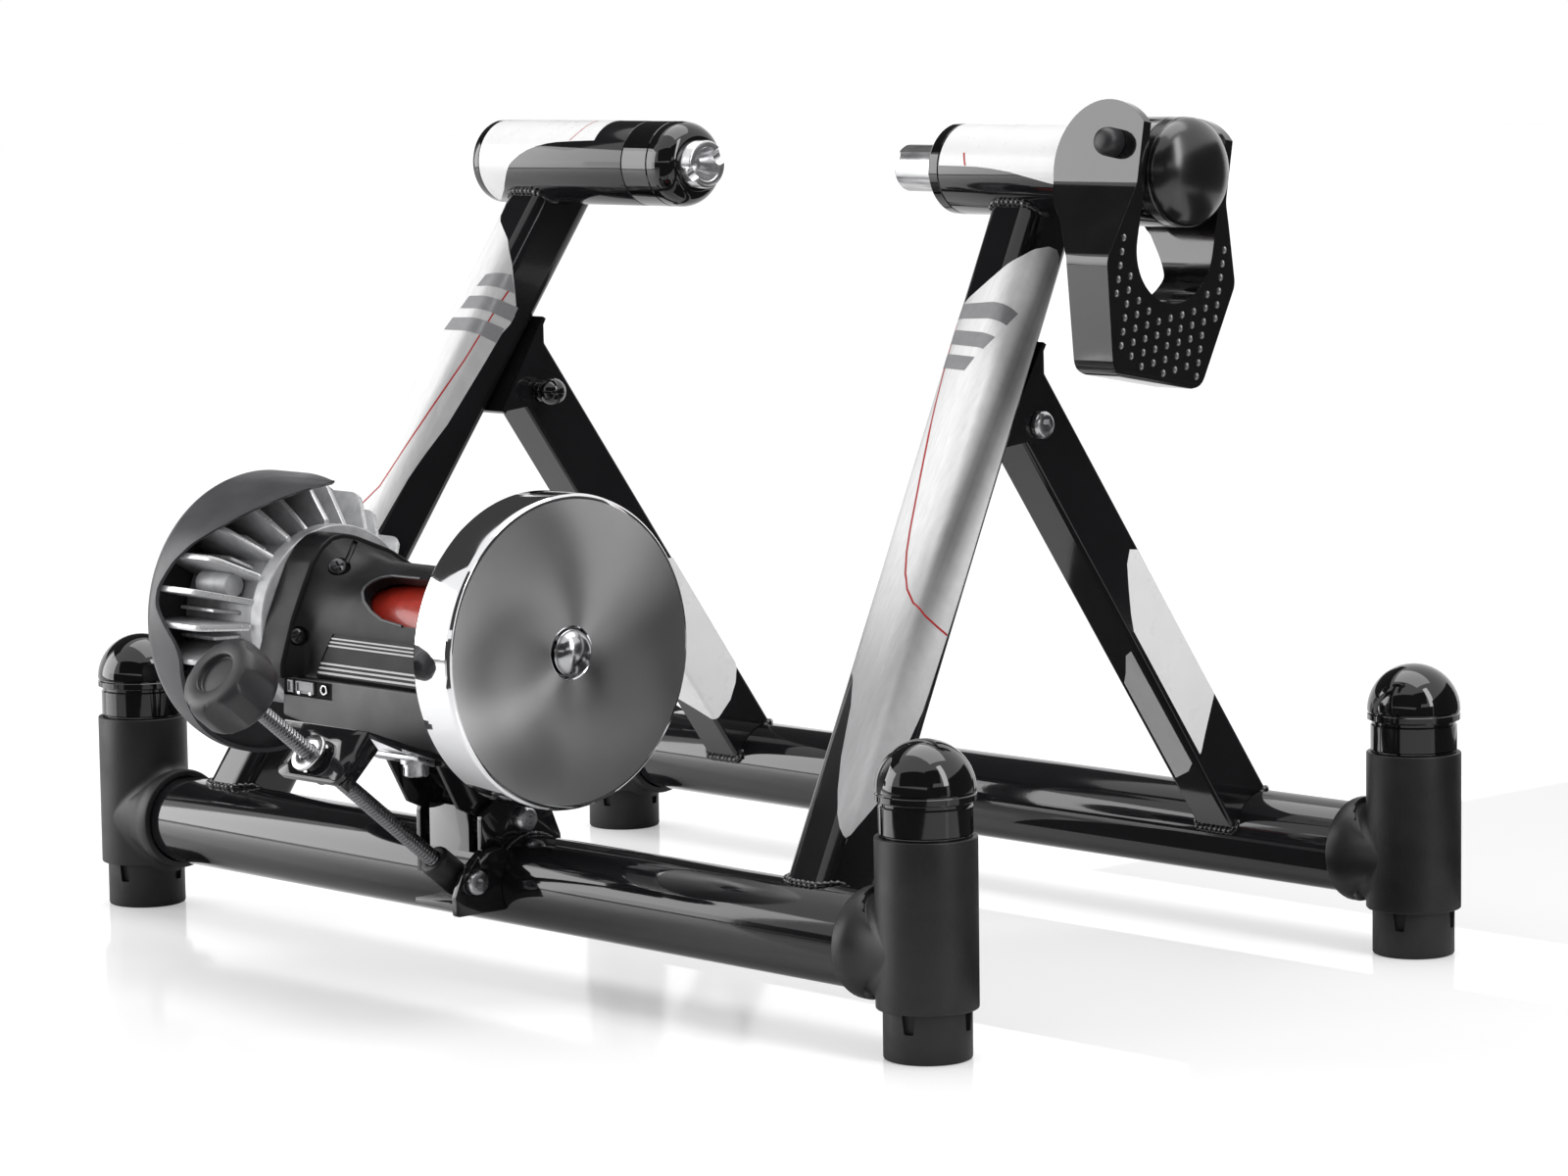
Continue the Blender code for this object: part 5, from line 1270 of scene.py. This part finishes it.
def draw_cover(m):
    """Bowl over the fins with a swept front edge and an open rear."""
    axis = along_x(*BRAKE)
    c, b, z, inner, outer, tip = -152.0, BRAKE[0], BRAKE[1], 69.8, 72.0, -69.0
    bowl = [(c, 0), (c, 52), (c + 0.8, 57), (c + 2.6, 63), (c + 5.2, 68), (c + 8.5, 71), (c + 12, outer),
            (tip, outer), (tip, inner), (c + 12.5, inner), (c + 9.6, 68.6), (c + 7.2, 66), (c + 5.0, 61),
            (c + 4.5, 54), (c + 4.5, 0)]
    cover = turned("brake_cover_bowl", bowl, axis, 160)
    edge = [(tip, z + outer - 1.6), (tip - 21, z + 59.5), (tip - 52, z + 40.7), (tip - 61, z + 31),
            (c + 15.5, z + 19), (c + 15, z + 10), (c + 23, z), (c + 31, z - 9), (c + 33, z - 16),
            (c + 28, z - 30), (c + 18, z - 56), (c + 16, z - 84), (tip + 30, z - 84),
            (tip + 30, z + outer - 1.6)]
    edge = soften(edge, [0, 60, 30, 10, 12, 14, 30, 14, 14, 60, 40, 0, 0, 0], 6)
    carve(cover, plate("front_cut", edge, b - 100, b + 100, XZ))
    rear = [(tip + 20, b - 9), (tip - 2, b - 9), (c + 26, b + 14), (c + 18, b + 40), (c + 18, b + 100),
            (tip + 20, b + 100)]
    carve(cover, plate("rear_cut", soften(rear, [0, 3, 12, 20, 0, 0], 4), z - 90, z + 90, XY))
    bevelled(cover, 0.4, 2, 50)
    settle(cover, "roller_unit", m["cover"], "brake_cover", 32)


# Outlines round the roller's axis, and spots on the arch's face
SEAM = -21.85
ARCH = [(54, SEAM), (-48.5, SEAM), (-48, -14), (-41, 7), (-34.5, 21), (-28, 34), (-22, 41.5), (-15, 46),
        (-8, 47), (0, 45.5), (23, 36.5), (45.5, 22.5), (53, 11)]
ARCH_ROUND = [1, 1.5, 12, 30, 30, 14, 12, 12, 12, 40, 40, 16, 8]
ARCH_SCREWS = [(-51.8, 204.2, 5.5), (-77.7, 171.5, 4.9)]
ARCH_GROOVE = [(-39.8, 215.4), (-41, 213.6), (-43.1, 209.8), (-45.6, 206.1), (-46.9, 203.8)]
HOOD_R = 34.0
HOOD_RING = [(36.0, SEAM), (-35.0, SEAM), (-34.8, -16), (-34.5, -10), (-34.2, -5),
             *arc(0, 0, HOOD_R, 180, 0, 60), (34.6, -8), (35.4, -15)]
WINDOW = [(58, 165), (16, 165), (0, 162), (-10, 156), (-18, 148), (-22.5, 140), (-23, 135), (-21, 128),
          (-17, 122), (-11, 118.5), (10, 118), (58, 118)]
WINDOW_MIDDLE = 141.5


def draw_arch(m):
    """Arched plate between brake and hood."""
    y, z = UNIT
    arch = plate("arch_body", soften([(y + u, z + v) for u, v in ARCH], ARCH_ROUND, 5), -80.0, -60.0)
    bevelled(arch, 1.6, 4, 40)
    carve(arch, drum("bore", -90, -40, SHAFT_HOLE_R, along_x(*UNIT), 48),
          drum("seat", -70.0, -40, SEAT_R, along_x(*UNIT), 64))
    settle(arch, "roller_unit", m["housing"], "arch_plate", 32)


def cross_screw(name, place, radius, degrees):
    """Pan head with a cross recess, standing along its place's Z."""
    half, arm = 0.55, radius * 0.62
    head = [(0, 0), (0, radius), *dome(0.7, 1.5, radius, range(0, 90, 10)), (2.2, 0)]
    screw = turned(name, head, place, 40)
    for turn in (0, 90):
        slot = plate("slot", [(-half, -arm), (half, -arm), (half, arm), (-half, arm)], 0.8, 6, XY)
        slot.data.transform(place @ Matrix.Rotation(math.radians(turn + degrees), 4, "Z"))
        carve(screw, slot)
    return screw


def skin_spot(obj, y, z):
    """Where the line from the camera to a spot on the arch plate meets a piece, and its slope there."""
    bpy.context.view_layer.update()
    eye = Vector(CAMERA_AT)
    spot, slope = obj.ray_cast(eye, (Vector((-60.0, y, z)) - eye).normalized())[1:3]
    return spot.copy(), slope.copy()


def reach(ring, a):
    """How far an outline stands from the roller's axis in a direction."""
    d = Vector((math.cos(a), math.sin(a)))
    best = HOOD_R
    for i, p in enumerate(ring):
        p, q = Vector(p), Vector(ring[(i + 1) % len(ring)])
        den = d.x * (q - p).y - d.y * (q - p).x
        if abs(den) < 1e-9:
            continue
        t = (p.x * (q - p).y - p.y * (q - p).x) / den
        s = (p.x * d.y - p.y * d.x) / den
        if t > 0 and -1e-6 <= s <= 1 + 1e-6:
            best = max(best, t)
    return best


def draw_hood(m):
    """Hood over the roller: a barrel vault that flares up into the arch plate.

    It has a window, a rear opening, a recessed panel with lines, two cross screws and a groove.
    """
    y, z = UNIT
    start, end, ring = -59.7, 74.0, HOOD_RING
    stops = [start + 1.25 * k for k in range(21)] + [-30, -22, 0, 30, 60, end - 2.0, end - 0.6, end]

    def point(i, j):
        u, v = ring[j]
        p = Vector((u, v))
        a = math.atan2(v, u) % math.tau
        deg = math.degrees(a)
        wide = 25 if deg < 132 else 25 - (deg - 132) * 25 / 82 if deg < 214 else 0.0
        if deg > 300 or deg < 20:
            wide = 6
        rise = max(0.0, reach(ARCH, a) - p.length - 2.4) if v > -21 else 0.0
        t = min(1.0, (stops[i] - start) / max(wide, 0.5))
        p += p.normalized() * rise * (1 - t) ** 2.2
        if i >= len(stops) - 2:
            p -= p.normalized() * (0.6 if i == len(stops) - 1 else 0.1)
        return Vector((stops[i], y + p.x, z + max(p.y, SEAM)))

    hood = woven("hood_shell", len(stops), len(ring), point)
    close_ends(hood)
    axis = along_x(*UNIT)
    carve(hood, drum("room", start + 3.2, 61.5, ROOM_R, axis, 96),
          drum("bore", start - 10, end + 10, SHAFT_HOLE_R, axis, 48),
          drum("seat", end - 9.9, end + 10, SEAT_R, axis, 64))
    mid = math.radians(WINDOW_MIDDLE)
    across = Matrix(((1, 0, 0, 0), (0, -math.sin(mid), math.cos(mid), y),
                     (0, math.cos(mid), math.sin(mid), z), (0, 0, 0, 1)))
    hole = soften([(x, HOOD_R * math.sin(math.radians(a) - mid)) for x, a in WINDOW],
                  [0, 60, 30, 14, 12, 8, 8, 8, 8, 10, 0, 0], 5)
    carve(hood, plate("window", hole, 11, 55, across))
    rear = [(y, z), *arc(y, z, 70, -5, 82, 24)]
    carve(hood, plate("rear", rear, -20, 55))
    panel = soften([(-36.5, 178), (66, 178), (66, 213), (-50.5, 213)], [2, 2, 2, 3], 4)
    carve(hood, wrapped("recess", panel, lambda a: reach(HOOD_RING, a) - 0.55, UNIT, 3.0, 3))
    nests = []
    for u, v, r in ARCH_SCREWS:
        spot, slope = skin_spot(hood, u, v)
        nests.append((stand(spot - slope * 1.5, slope + Vector((0.8, 0, 0))), r))
    groove = [skin_spot(hood, u, v)[0] for u, v in ARCH_GROOVE]
    for place, r in nests:
        nest = [(-0.4, 0), (-0.4, r - 0.8), (0.2, r), (8, r + 0.6), (8, 0)]
        carve(hood, turned("recess", nest, place, 48))
    for a, b in zip(groove, groove[1:]):
        carve(hood, drum("groove", -0.3, (b - a).length + 0.3, 1.4, stand(a, b - a), 20))
    settle(hood, "roller_unit", m["housing"], "hood", 32)
    out = HOOD_R + 0.1
    lip = [(x, y + out * math.cos(math.radians(a)), z + out * math.sin(math.radians(a)))
           for x, a in soften(WINDOW[1:-1], 5, 3, closed=False)]
    rim = smooth_rim("window_lip", lip, 0.75)
    settle(rim, "roller_unit", m["cover"], angle=60)
    for k, (place, r) in enumerate(nests):
        settle(cross_screw(f"arch_screw_{k + 1}", place, r - 1.0, 20 + 35 * k), "roller_unit",
               m["screw"], angle=30)
    for k in range(6):
        a = 182.2 + 3.1 * (k % 3) + (20.0 if k > 2 else 0.0)
        x0 = -39.5 - 0.45 * (a - 181)
        strip = wrapped(f"hood_line_{k + 1}", ribbon([(x0, a), (62, a)], 1.3),
                        lambda a: reach(HOOD_RING, a) - 0.4, UNIT, 0.1, 3)
        settle(strip, "roller_unit", m["grey_film"])


def smooth_rim(name, line, radius):
    """Round lip along a line on the hood."""
    pts = [Vector(p) for p in line]
    n, sides = len(pts), 10

    def point(i, j):
        t = (pts[min(i + 1, n - 1)] - pts[max(i - 1, 0)]).normalized()
        out = Vector((0, pts[i].y - UNIT[0], pts[i].z - UNIT[1])).normalized()
        side = t.cross(out).normalized()
        a = math.tau * j / sides
        return pts[i] + (side * math.cos(a) + out * math.sin(a)) * radius

    return close_ends(woven(name, n, sides, point))


def draw_lower(m):
    """Lower housing with its raised left end and the port recess, whose back is a sheet of painted shade.
    """
    y, top, under = UNIT[0], 150.85, plate_z(-15) + 3.1
    shape = [(y + 42, top), (y - 35.5, top), (-76.5, plate_z(-76.5) + 3.1), (y + 25, under),
             (y + 42, under)]
    body = plate("lower_body", shape, -75.0, 74.0)
    edit(body)
    bpy.ops.mesh.bisect(plane_co=(-23.7, 0, 0), plane_no=(1, 0, 0))
    deselect()
    for vert in body.data.vertices:
        if vert.co.x < -70 and vert.co.z < 146:
            vert.co.z += 8.0
    bevelled(body, 1.2, 3, 30)
    carve(body, drum("room", -56.5, 61.5, ROOM_R, along_x(*UNIT), 96),
          block("ports", -74.0, -36.0, -90, -72.3, 141.2, 149.6))
    settle(body, "roller_unit", m["case"], "lower_housing", 30)
    # Painted shade: a near-black sheet at the back of the port recess.
    back = block("port_back_shade", -73.6, -36.4, -73.4, -72.5, 141.5, 149.3)
    settle(back, "roller_unit", m["dark"])
    for name, x0, x1 in (("port_left", -73.4, -68.6), ("port_middle", -66.6, -52.4)):
        frame_ring = block(name, x0, x1, -74.6, -73.3, 142.3, 148.7, 0.3)
        carve(frame_ring, block("mouth", x0 + 1.0, x1 - 1.0, -80, -73.9, 143.3, 147.7))
        settle(frame_ring, "roller_unit", m["stripe"])
    for k, x in enumerate((-64.0, -55.0)):
        settle(block(f"port_pin_{k + 1}", x - 1.1, x + 1.1, -74.9, -74.0, 141.9, 143.6, 0.2), "roller_unit",
               m["bright"])
    jack = turned("jack_ring", [(0, 1.7), (0, 2.7), (0.9, 2.7), (1.2, 2.4), (1.2, 1.9), (1.0, 1.7)],
                  stand((-44.5, -73.3, 145.6), (0, -1, 0)), 40)
    settle(jack, "roller_unit", m["bright"])


def draw_roller(m):
    """Red roller, flywheel with turned face and polished rim, and its domed screw."""
    axis = along_x(*UNIT)
    a, b, r, bore = -28.0, 60.0, 25.0, 8.3
    roller = turned("roller_sleeve",
                    [(a, bore), (a, r - 1.2), (a + 0.3, r - 0.4), (a + 1.2, r), (b - 1.2, r),
                     (b - 0.3, r - 0.4), (b, r - 1.2), (b, bore)], axis, 128)
    settle(roller, "spinning_roller", m["red"], "roller", 30)
    f, t, r = 102.0, 75.0, 75.6
    wheel = [(t + 0.6, bore), (t + 0.6, 23.4), (t + 1.2, 24), (t + 4, 26), (t + 4, r - 13.6),
             (t + 1, r - 9.6), (t + 0.4, r - 2.0), (t + 0.9, r - 0.7), (t + 2.2, r), (f - 3.0, r),
             (f - 1.5, r - 0.35), (f - 0.45, r - 1.3), (f, r - 2.6), (f, 13.0), (f - 0.3, 12.4),
             (f - 3.5, 12), (f - 3.8, 11.6), (f - 3.8, bore)]
    fly = turned("flywheel_disc", wheel, axis, 192)
    fly.data.materials.append(m["rim"])
    fly.data.materials.append(m["face"])
    for face in fly.data.polygons:
        far = math.hypot(face.center.y - UNIT[0], face.center.z - UNIT[1])
        if abs(face.normal.x) > 0.95 and far < r - 2.3:
            face.material_index = 1
    settle(fly, "spinning_roller", None, "flywheel", 24)
    head = [(f - 3.5, 0), (f - 3.5, 10.6), (f - 3.2, 11.2), (f + 0.6, 11.2), (f + 1.0, 10.9),
            *dome(f + 1, 6.5, 10.9, range(6, 90, 6)), (f + 7.5, 0)]
    screw = turned("flywheel_dome_screw", head, axis, 72)
    settle(screw, "spinning_roller", m["screw_dome"], "flywheel_screw", 30)


def draw_hidden(m):
    """The solids inside keep their own shapes and get a finish."""
    for node in ("bearing_left", "bearing_right", "shaft", "brake_rotor", "lever_cam"):
        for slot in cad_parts[node].material_slots:
            slot.material = m["steel"]


# Stage
def softbox(name, place, target, wide, high, power):
    """Area lamp turned to a target."""
    deselect()
    bpy.ops.object.light_add(type="AREA", location=place)
    lamp = bpy.context.object
    lamp.name = lamp.data.name = name
    lamp.data.shape, lamp.data.size, lamp.data.size_y = "RECTANGLE", wide, high
    lamp.data.energy = power
    lamp.rotation_euler = (Vector(target) - Vector(place)).to_track_quat("-Z", "Y").to_euler()


def flag(name, place, target, wide, high):
    """Black card that only reflections see."""
    deselect()
    bpy.ops.mesh.primitive_plane_add(size=1.0)
    card = bpy.context.object
    card.name = card.data.name = name
    turn = (Vector(target) - Vector(place)).to_track_quat("Z", "Y").to_matrix().to_4x4()
    card.data.transform(Matrix.Translation(place) @ turn @ Matrix.Diagonal((wide, high, 1, 1)))
    black = {"Specular IOR Level": 0.0, "Emission Color": (1, 1, 1, 1), "Emission Strength": 0.05}
    card.data.materials.append(bpy.data.materials.get("black_card")
                               or Finish("black_card", (0.0, 0.0, 0.0), 1.0, **black).mat)
    card.visible_camera = card.visible_diffuse = card.visible_shadow = card.visible_transmission = False


def draw_stage():
    """World, floor, lamps, cards and the photograph's camera."""
    scene = bpy.context.scene
    scene.view_settings.view_transform = "Standard"
    world = scene.world or bpy.data.worlds.new("studio")
    scene.world = world
    world.use_nodes = True
    nodes, links = world.node_tree.nodes, world.node_tree.links
    nodes.clear()
    rays = nodes.new("ShaderNodeLightPath")
    seen = rays.outputs["Is Camera Ray"]
    for kind in ("Is Glossy Ray", "Is Transmission Ray"):
        either = nodes.new("ShaderNodeMath")
        either.operation = "MAXIMUM"
        links.new(seen, either.inputs[0])
        links.new(rays.outputs[kind], either.inputs[1])
        seen = either.outputs[0]
    level = nodes.new("ShaderNodeMapRange")
    level.inputs["To Min"].default_value, level.inputs["To Max"].default_value = 0.5, 1.0
    links.new(seen, level.inputs["Value"])
    sky = nodes.new("ShaderNodeBackground")
    sky.inputs["Color"].default_value = (1, 1, 1, 1)
    links.new(level.outputs["Result"], sky.inputs["Strength"])
    out = nodes.new("ShaderNodeOutputWorld")
    links.new(sky.outputs[0], out.inputs["Surface"])

    deselect()
    bpy.ops.mesh.primitive_plane_add(size=30.0)
    floor = bpy.context.object
    floor.name = floor.data.name = "studio_floor"
    pale = Finish("pale_floor", (0.86, 0.86, 0.86), 0.1,
                  **{"Specular IOR Level": 0.12, "Emission Color": (1, 1, 1, 1)})
    glow = pale.node("ShaderNodeMath", operation="MULTIPLY")
    pale.links.new(pale.node("ShaderNodeLightPath").outputs["Is Camera Ray"], glow.inputs[0])
    glow.inputs[1].default_value = 0.3
    pale.links.new(glow.outputs[0], pale.shader.inputs["Emission Strength"])
    floor.data.materials.append(pale.mat)

    middle = (0.0, 0.0, 0.2)
    softbox("softbox_top", (0.0, 0.3, 2.4), middle, 2.6, 1.6, 30)
    softbox("softbox_left", (-1.75, -1.4, 0.8), (0.0, 0.0, 0.8), 1.7, 1.5, 28)
    softbox("softbox_right", (2.5, 0.1, 1.7), middle, 0.55, 2.2, 22)
    flag("card_front_low", (0.5, -3.2, -0.1), (0.0, 0.0, 0.3), 8.4, 1.6)
    flag("card_front_high", (1.2, -2.6, 1.75), (0.0, 0.0, 0.3), 5.0, 1.9)
    flag("card_left", (-2.4, 0.4, 2.4), (0.0, 0.4, 2.4), 4.4, 1.6)
    flag("card_left_rear", (-2.4, 0.9, 1.2), (0.0, 0.9, 1.2), 2.8, 0.9)
    flag("card_right_rear", (1.15, 1.1, 0.35), (0.0, 0.0, 0.35), 2.4, 1.1)
    flag("card_right_front", (3.0, -1.0, 0.1), (0.0, 0.0, 0.3), 2.4, 1.4)
    flag("card_right_high", (2.3, -1.0, 1.75), (0.0, 0.0, 0.35), 1.5, 1.5)
    flag("card_floor", (1.5, -2.1, 0.003), (1.5, -2.1, 2.0), 3.4, 3.0)
    flag("card_floor_inside", (0.25, NEAR_Y + 0.19, 0.003), (0.25, NEAR_Y + 0.19, 2.0), 0.5, 0.22)
    flag("card_floor_behind", (0.6, NEAR_Y + 0.75, 0.003), (0.6, NEAR_Y + 0.75, 2.0), 1.2, 0.65)

    yaw, pitch, roll = math.radians(46.60), math.radians(-6.52), math.radians(-0.78)
    ahead = Vector((-math.sin(yaw) * math.cos(pitch), math.cos(yaw) * math.cos(pitch), math.sin(pitch)))
    level_right = Vector((math.cos(yaw), math.sin(yaw), 0.0))
    level_up = level_right.cross(ahead)
    right = level_right * math.cos(roll) + level_up * math.sin(roll)
    up = -level_right * math.sin(roll) + level_up * math.cos(roll)
    deselect()
    bpy.ops.object.camera_add()
    camera = bpy.context.object
    camera.name = "photo_camera"
    x, y, z = (c / 1000 for c in CAMERA_AT)
    camera.matrix_world = Matrix.Translation((x, y + NEAR_Y, z)) @ Matrix(
        (right, up, -ahead)).transposed().to_4x4()
    camera.data.lens, camera.data.sensor_width = CAMERA_LENS, SENSOR
    camera.data.clip_end = 100.0
    scene.camera = camera


# The add-on
class TrainerLook(bpy.types.PropertyGroup):
    """Sizes and colours of the trainer that a user may change."""

    coat_color: bpy.props.FloatVectorProperty(
        name="Frame colour", description="Colour of the gloss coat on bars, legs and struts",
        default=(0.008, 0.008, 0.009), min=0.0, max=1.0, subtype="COLOR")
    silver_color: bpy.props.FloatVectorProperty(
        name="Leg film colour", description="Colour of the brushed film on the legs",
        default=(0.62, 0.62, 0.63), min=0.0, max=1.0, subtype="COLOR")
    thread_pitch: bpy.props.FloatProperty(
        name="Thread pitch", description="Distance between turns of the adjusting rod's thread",
        default=0.002, min=0.001, max=0.004, unit="LENGTH")
    fin_thickness: bpy.props.FloatProperty(
        name="Fin thickness", description="Thickness of the brake's tall cooling fins",
        default=0.003, min=0.001, max=0.004, unit="LENGTH")
    weld_radius: bpy.props.FloatProperty(
        name="Weld radius", description="Radius of the weld beads where tubes meet",
        default=0.0021, min=0.0005, max=0.004, unit="LENGTH")


MADE = {}


def materials():
    """The finishes, made once."""
    if not MADE:
        MADE.update(finishes())
    return MADE


class TRAINER_OT_bars(bpy.types.Operator):
    """Draw the two floor bars"""

    bl_idname = "trainer.bars"
    bl_label = "Floor bars"

    def execute(self, context):
        draw_bars(materials())
        return {"FINISHED"}


class TRAINER_OT_tees(bpy.types.Operator):
    """Draw the tees, caps and feet at the four corners"""

    bl_idname = "trainer.tees"
    bl_label = "Tees, caps and feet"

    def execute(self, context):
        draw_tees(materials())
        draw_caps(materials())
        draw_feet(materials())
        return {"FINISHED"}


class TRAINER_OT_legs(bpy.types.Operator):
    """Draw the two legs with their films and welds"""

    bl_idname = "trainer.legs"
    bl_label = "Legs"

    def execute(self, context):
        draw_legs(materials())
        return {"FINISHED"}


class TRAINER_OT_struts(bpy.types.Operator):
    """Draw the two struts with their films and welds"""

    bl_idname = "trainer.struts"
    bl_label = "Struts"

    def execute(self, context):
        draw_struts(materials())
        return {"FINISHED"}


class TRAINER_OT_hinges(bpy.types.Operator):
    """Draw the fold hinges between legs and struts"""

    bl_idname = "trainer.hinges"
    bl_label = "Fold hinges"

    def execute(self, context):
        draw_hinges(materials())
        return {"FINISHED"}


class TRAINER_OT_left_clamp(bpy.types.Operator):
    """Draw the left axle clamp with its turning adjuster"""

    bl_idname = "trainer.left_clamp"
    bl_label = "Left clamp"

    def execute(self, context):
        draw_left_clamp(materials())
        return {"FINISHED"}


class TRAINER_OT_right_clamp(bpy.types.Operator):
    """Draw the right axle clamp with its cam housing"""

    bl_idname = "trainer.right_clamp"
    bl_label = "Right clamp"

    def execute(self, context):
        draw_right_clamp(materials())
        return {"FINISHED"}


class TRAINER_OT_lever(bpy.types.Operator):
    """Draw the clamp lever with its grip studs"""

    bl_idname = "trainer.lever"
    bl_label = "Clamp lever"

    def execute(self, context):
        draw_lever(materials())
        return {"FINISHED"}


class TRAINER_OT_brackets(bpy.types.Operator):
    """Draw the brackets on the near bar"""

    bl_idname = "trainer.brackets"
    bl_label = "Brackets"

    def execute(self, context):
        draw_brackets(materials())
        return {"FINISHED"}


class TRAINER_OT_rod(bpy.types.Operator):
    """Draw the threaded rod, its block, knob, nut and washer"""

    bl_idname = "trainer.rod"
    bl_label = "Adjusting rod"

    def execute(self, context):
        draw_rod(materials())
        return {"FINISHED"}


class TRAINER_OT_unit(bpy.types.Operator):
    """Draw the base plate, hood, arch plate and lower housing of the roller unit"""

    bl_idname = "trainer.unit"
    bl_label = "Unit housings"

    def execute(self, context):
        draw_base(materials())
        draw_clamp_nut(materials())
        draw_arch(materials())
        draw_hood(materials())
        draw_lower(materials())
        return {"FINISHED"}


class TRAINER_OT_brake(bpy.types.Operator):
    """Draw the finned brake and its cover"""

    bl_idname = "trainer.brake"
    bl_label = "Brake"

    def execute(self, context):
        draw_brake(materials())
        draw_cover(materials())
        return {"FINISHED"}


class TRAINER_OT_roller(bpy.types.Operator):
    """Draw the roller and the flywheel"""

    bl_idname = "trainer.roller"
    bl_label = "Roller and flywheel"

    def execute(self, context):
        draw_roller(materials())
        draw_hidden(materials())
        return {"FINISHED"}


class TRAINER_OT_stage(bpy.types.Operator):
    """Set up the floor, lamps and camera"""

    bl_idname = "trainer.stage"
    bl_label = "Stage"

    def execute(self, context):
        draw_stage()
        return {"FINISHED"}


OPERATORS = (TRAINER_OT_bars, TRAINER_OT_tees, TRAINER_OT_legs, TRAINER_OT_struts, TRAINER_OT_hinges,
             TRAINER_OT_left_clamp, TRAINER_OT_right_clamp, TRAINER_OT_lever, TRAINER_OT_brackets,
             TRAINER_OT_rod, TRAINER_OT_unit, TRAINER_OT_brake, TRAINER_OT_roller, TRAINER_OT_stage)


class TRAINER_PT_panel(bpy.types.Panel):
    """Lists the trainer's sizes, colours and pieces"""

    bl_idname = "TRAINER_PT_panel"
    bl_label = "Bicycle trainer"
    bl_space_type = "VIEW_3D"
    bl_region_type = "UI"
    bl_category = "Trainer"

    def draw(self, context):
        look = context.scene.trainer_look
        for name in TrainerLook.__annotations__:
            self.layout.prop(look, name)
        for cls in OPERATORS:
            self.layout.operator(cls.bl_idname)


CLASSES = (TrainerLook, *OPERATORS, TRAINER_PT_panel)


def register():
    """Add the classes."""
    for cls in CLASSES:
        bpy.utils.register_class(cls)
    bpy.types.Scene.trainer_look = bpy.props.PointerProperty(type=TrainerLook)


def unregister():
    """Take the classes away."""
    del bpy.types.Scene.trainer_look
    for cls in reversed(CLASSES):
        bpy.utils.unregister_class(cls)


def main():
    """Dress the solids and finish."""
    register()
    for cls in OPERATORS:
        family, name = cls.bl_idname.split(".")
        getattr(getattr(bpy.ops, family), name)()


if __name__ == "__main__":
    main()
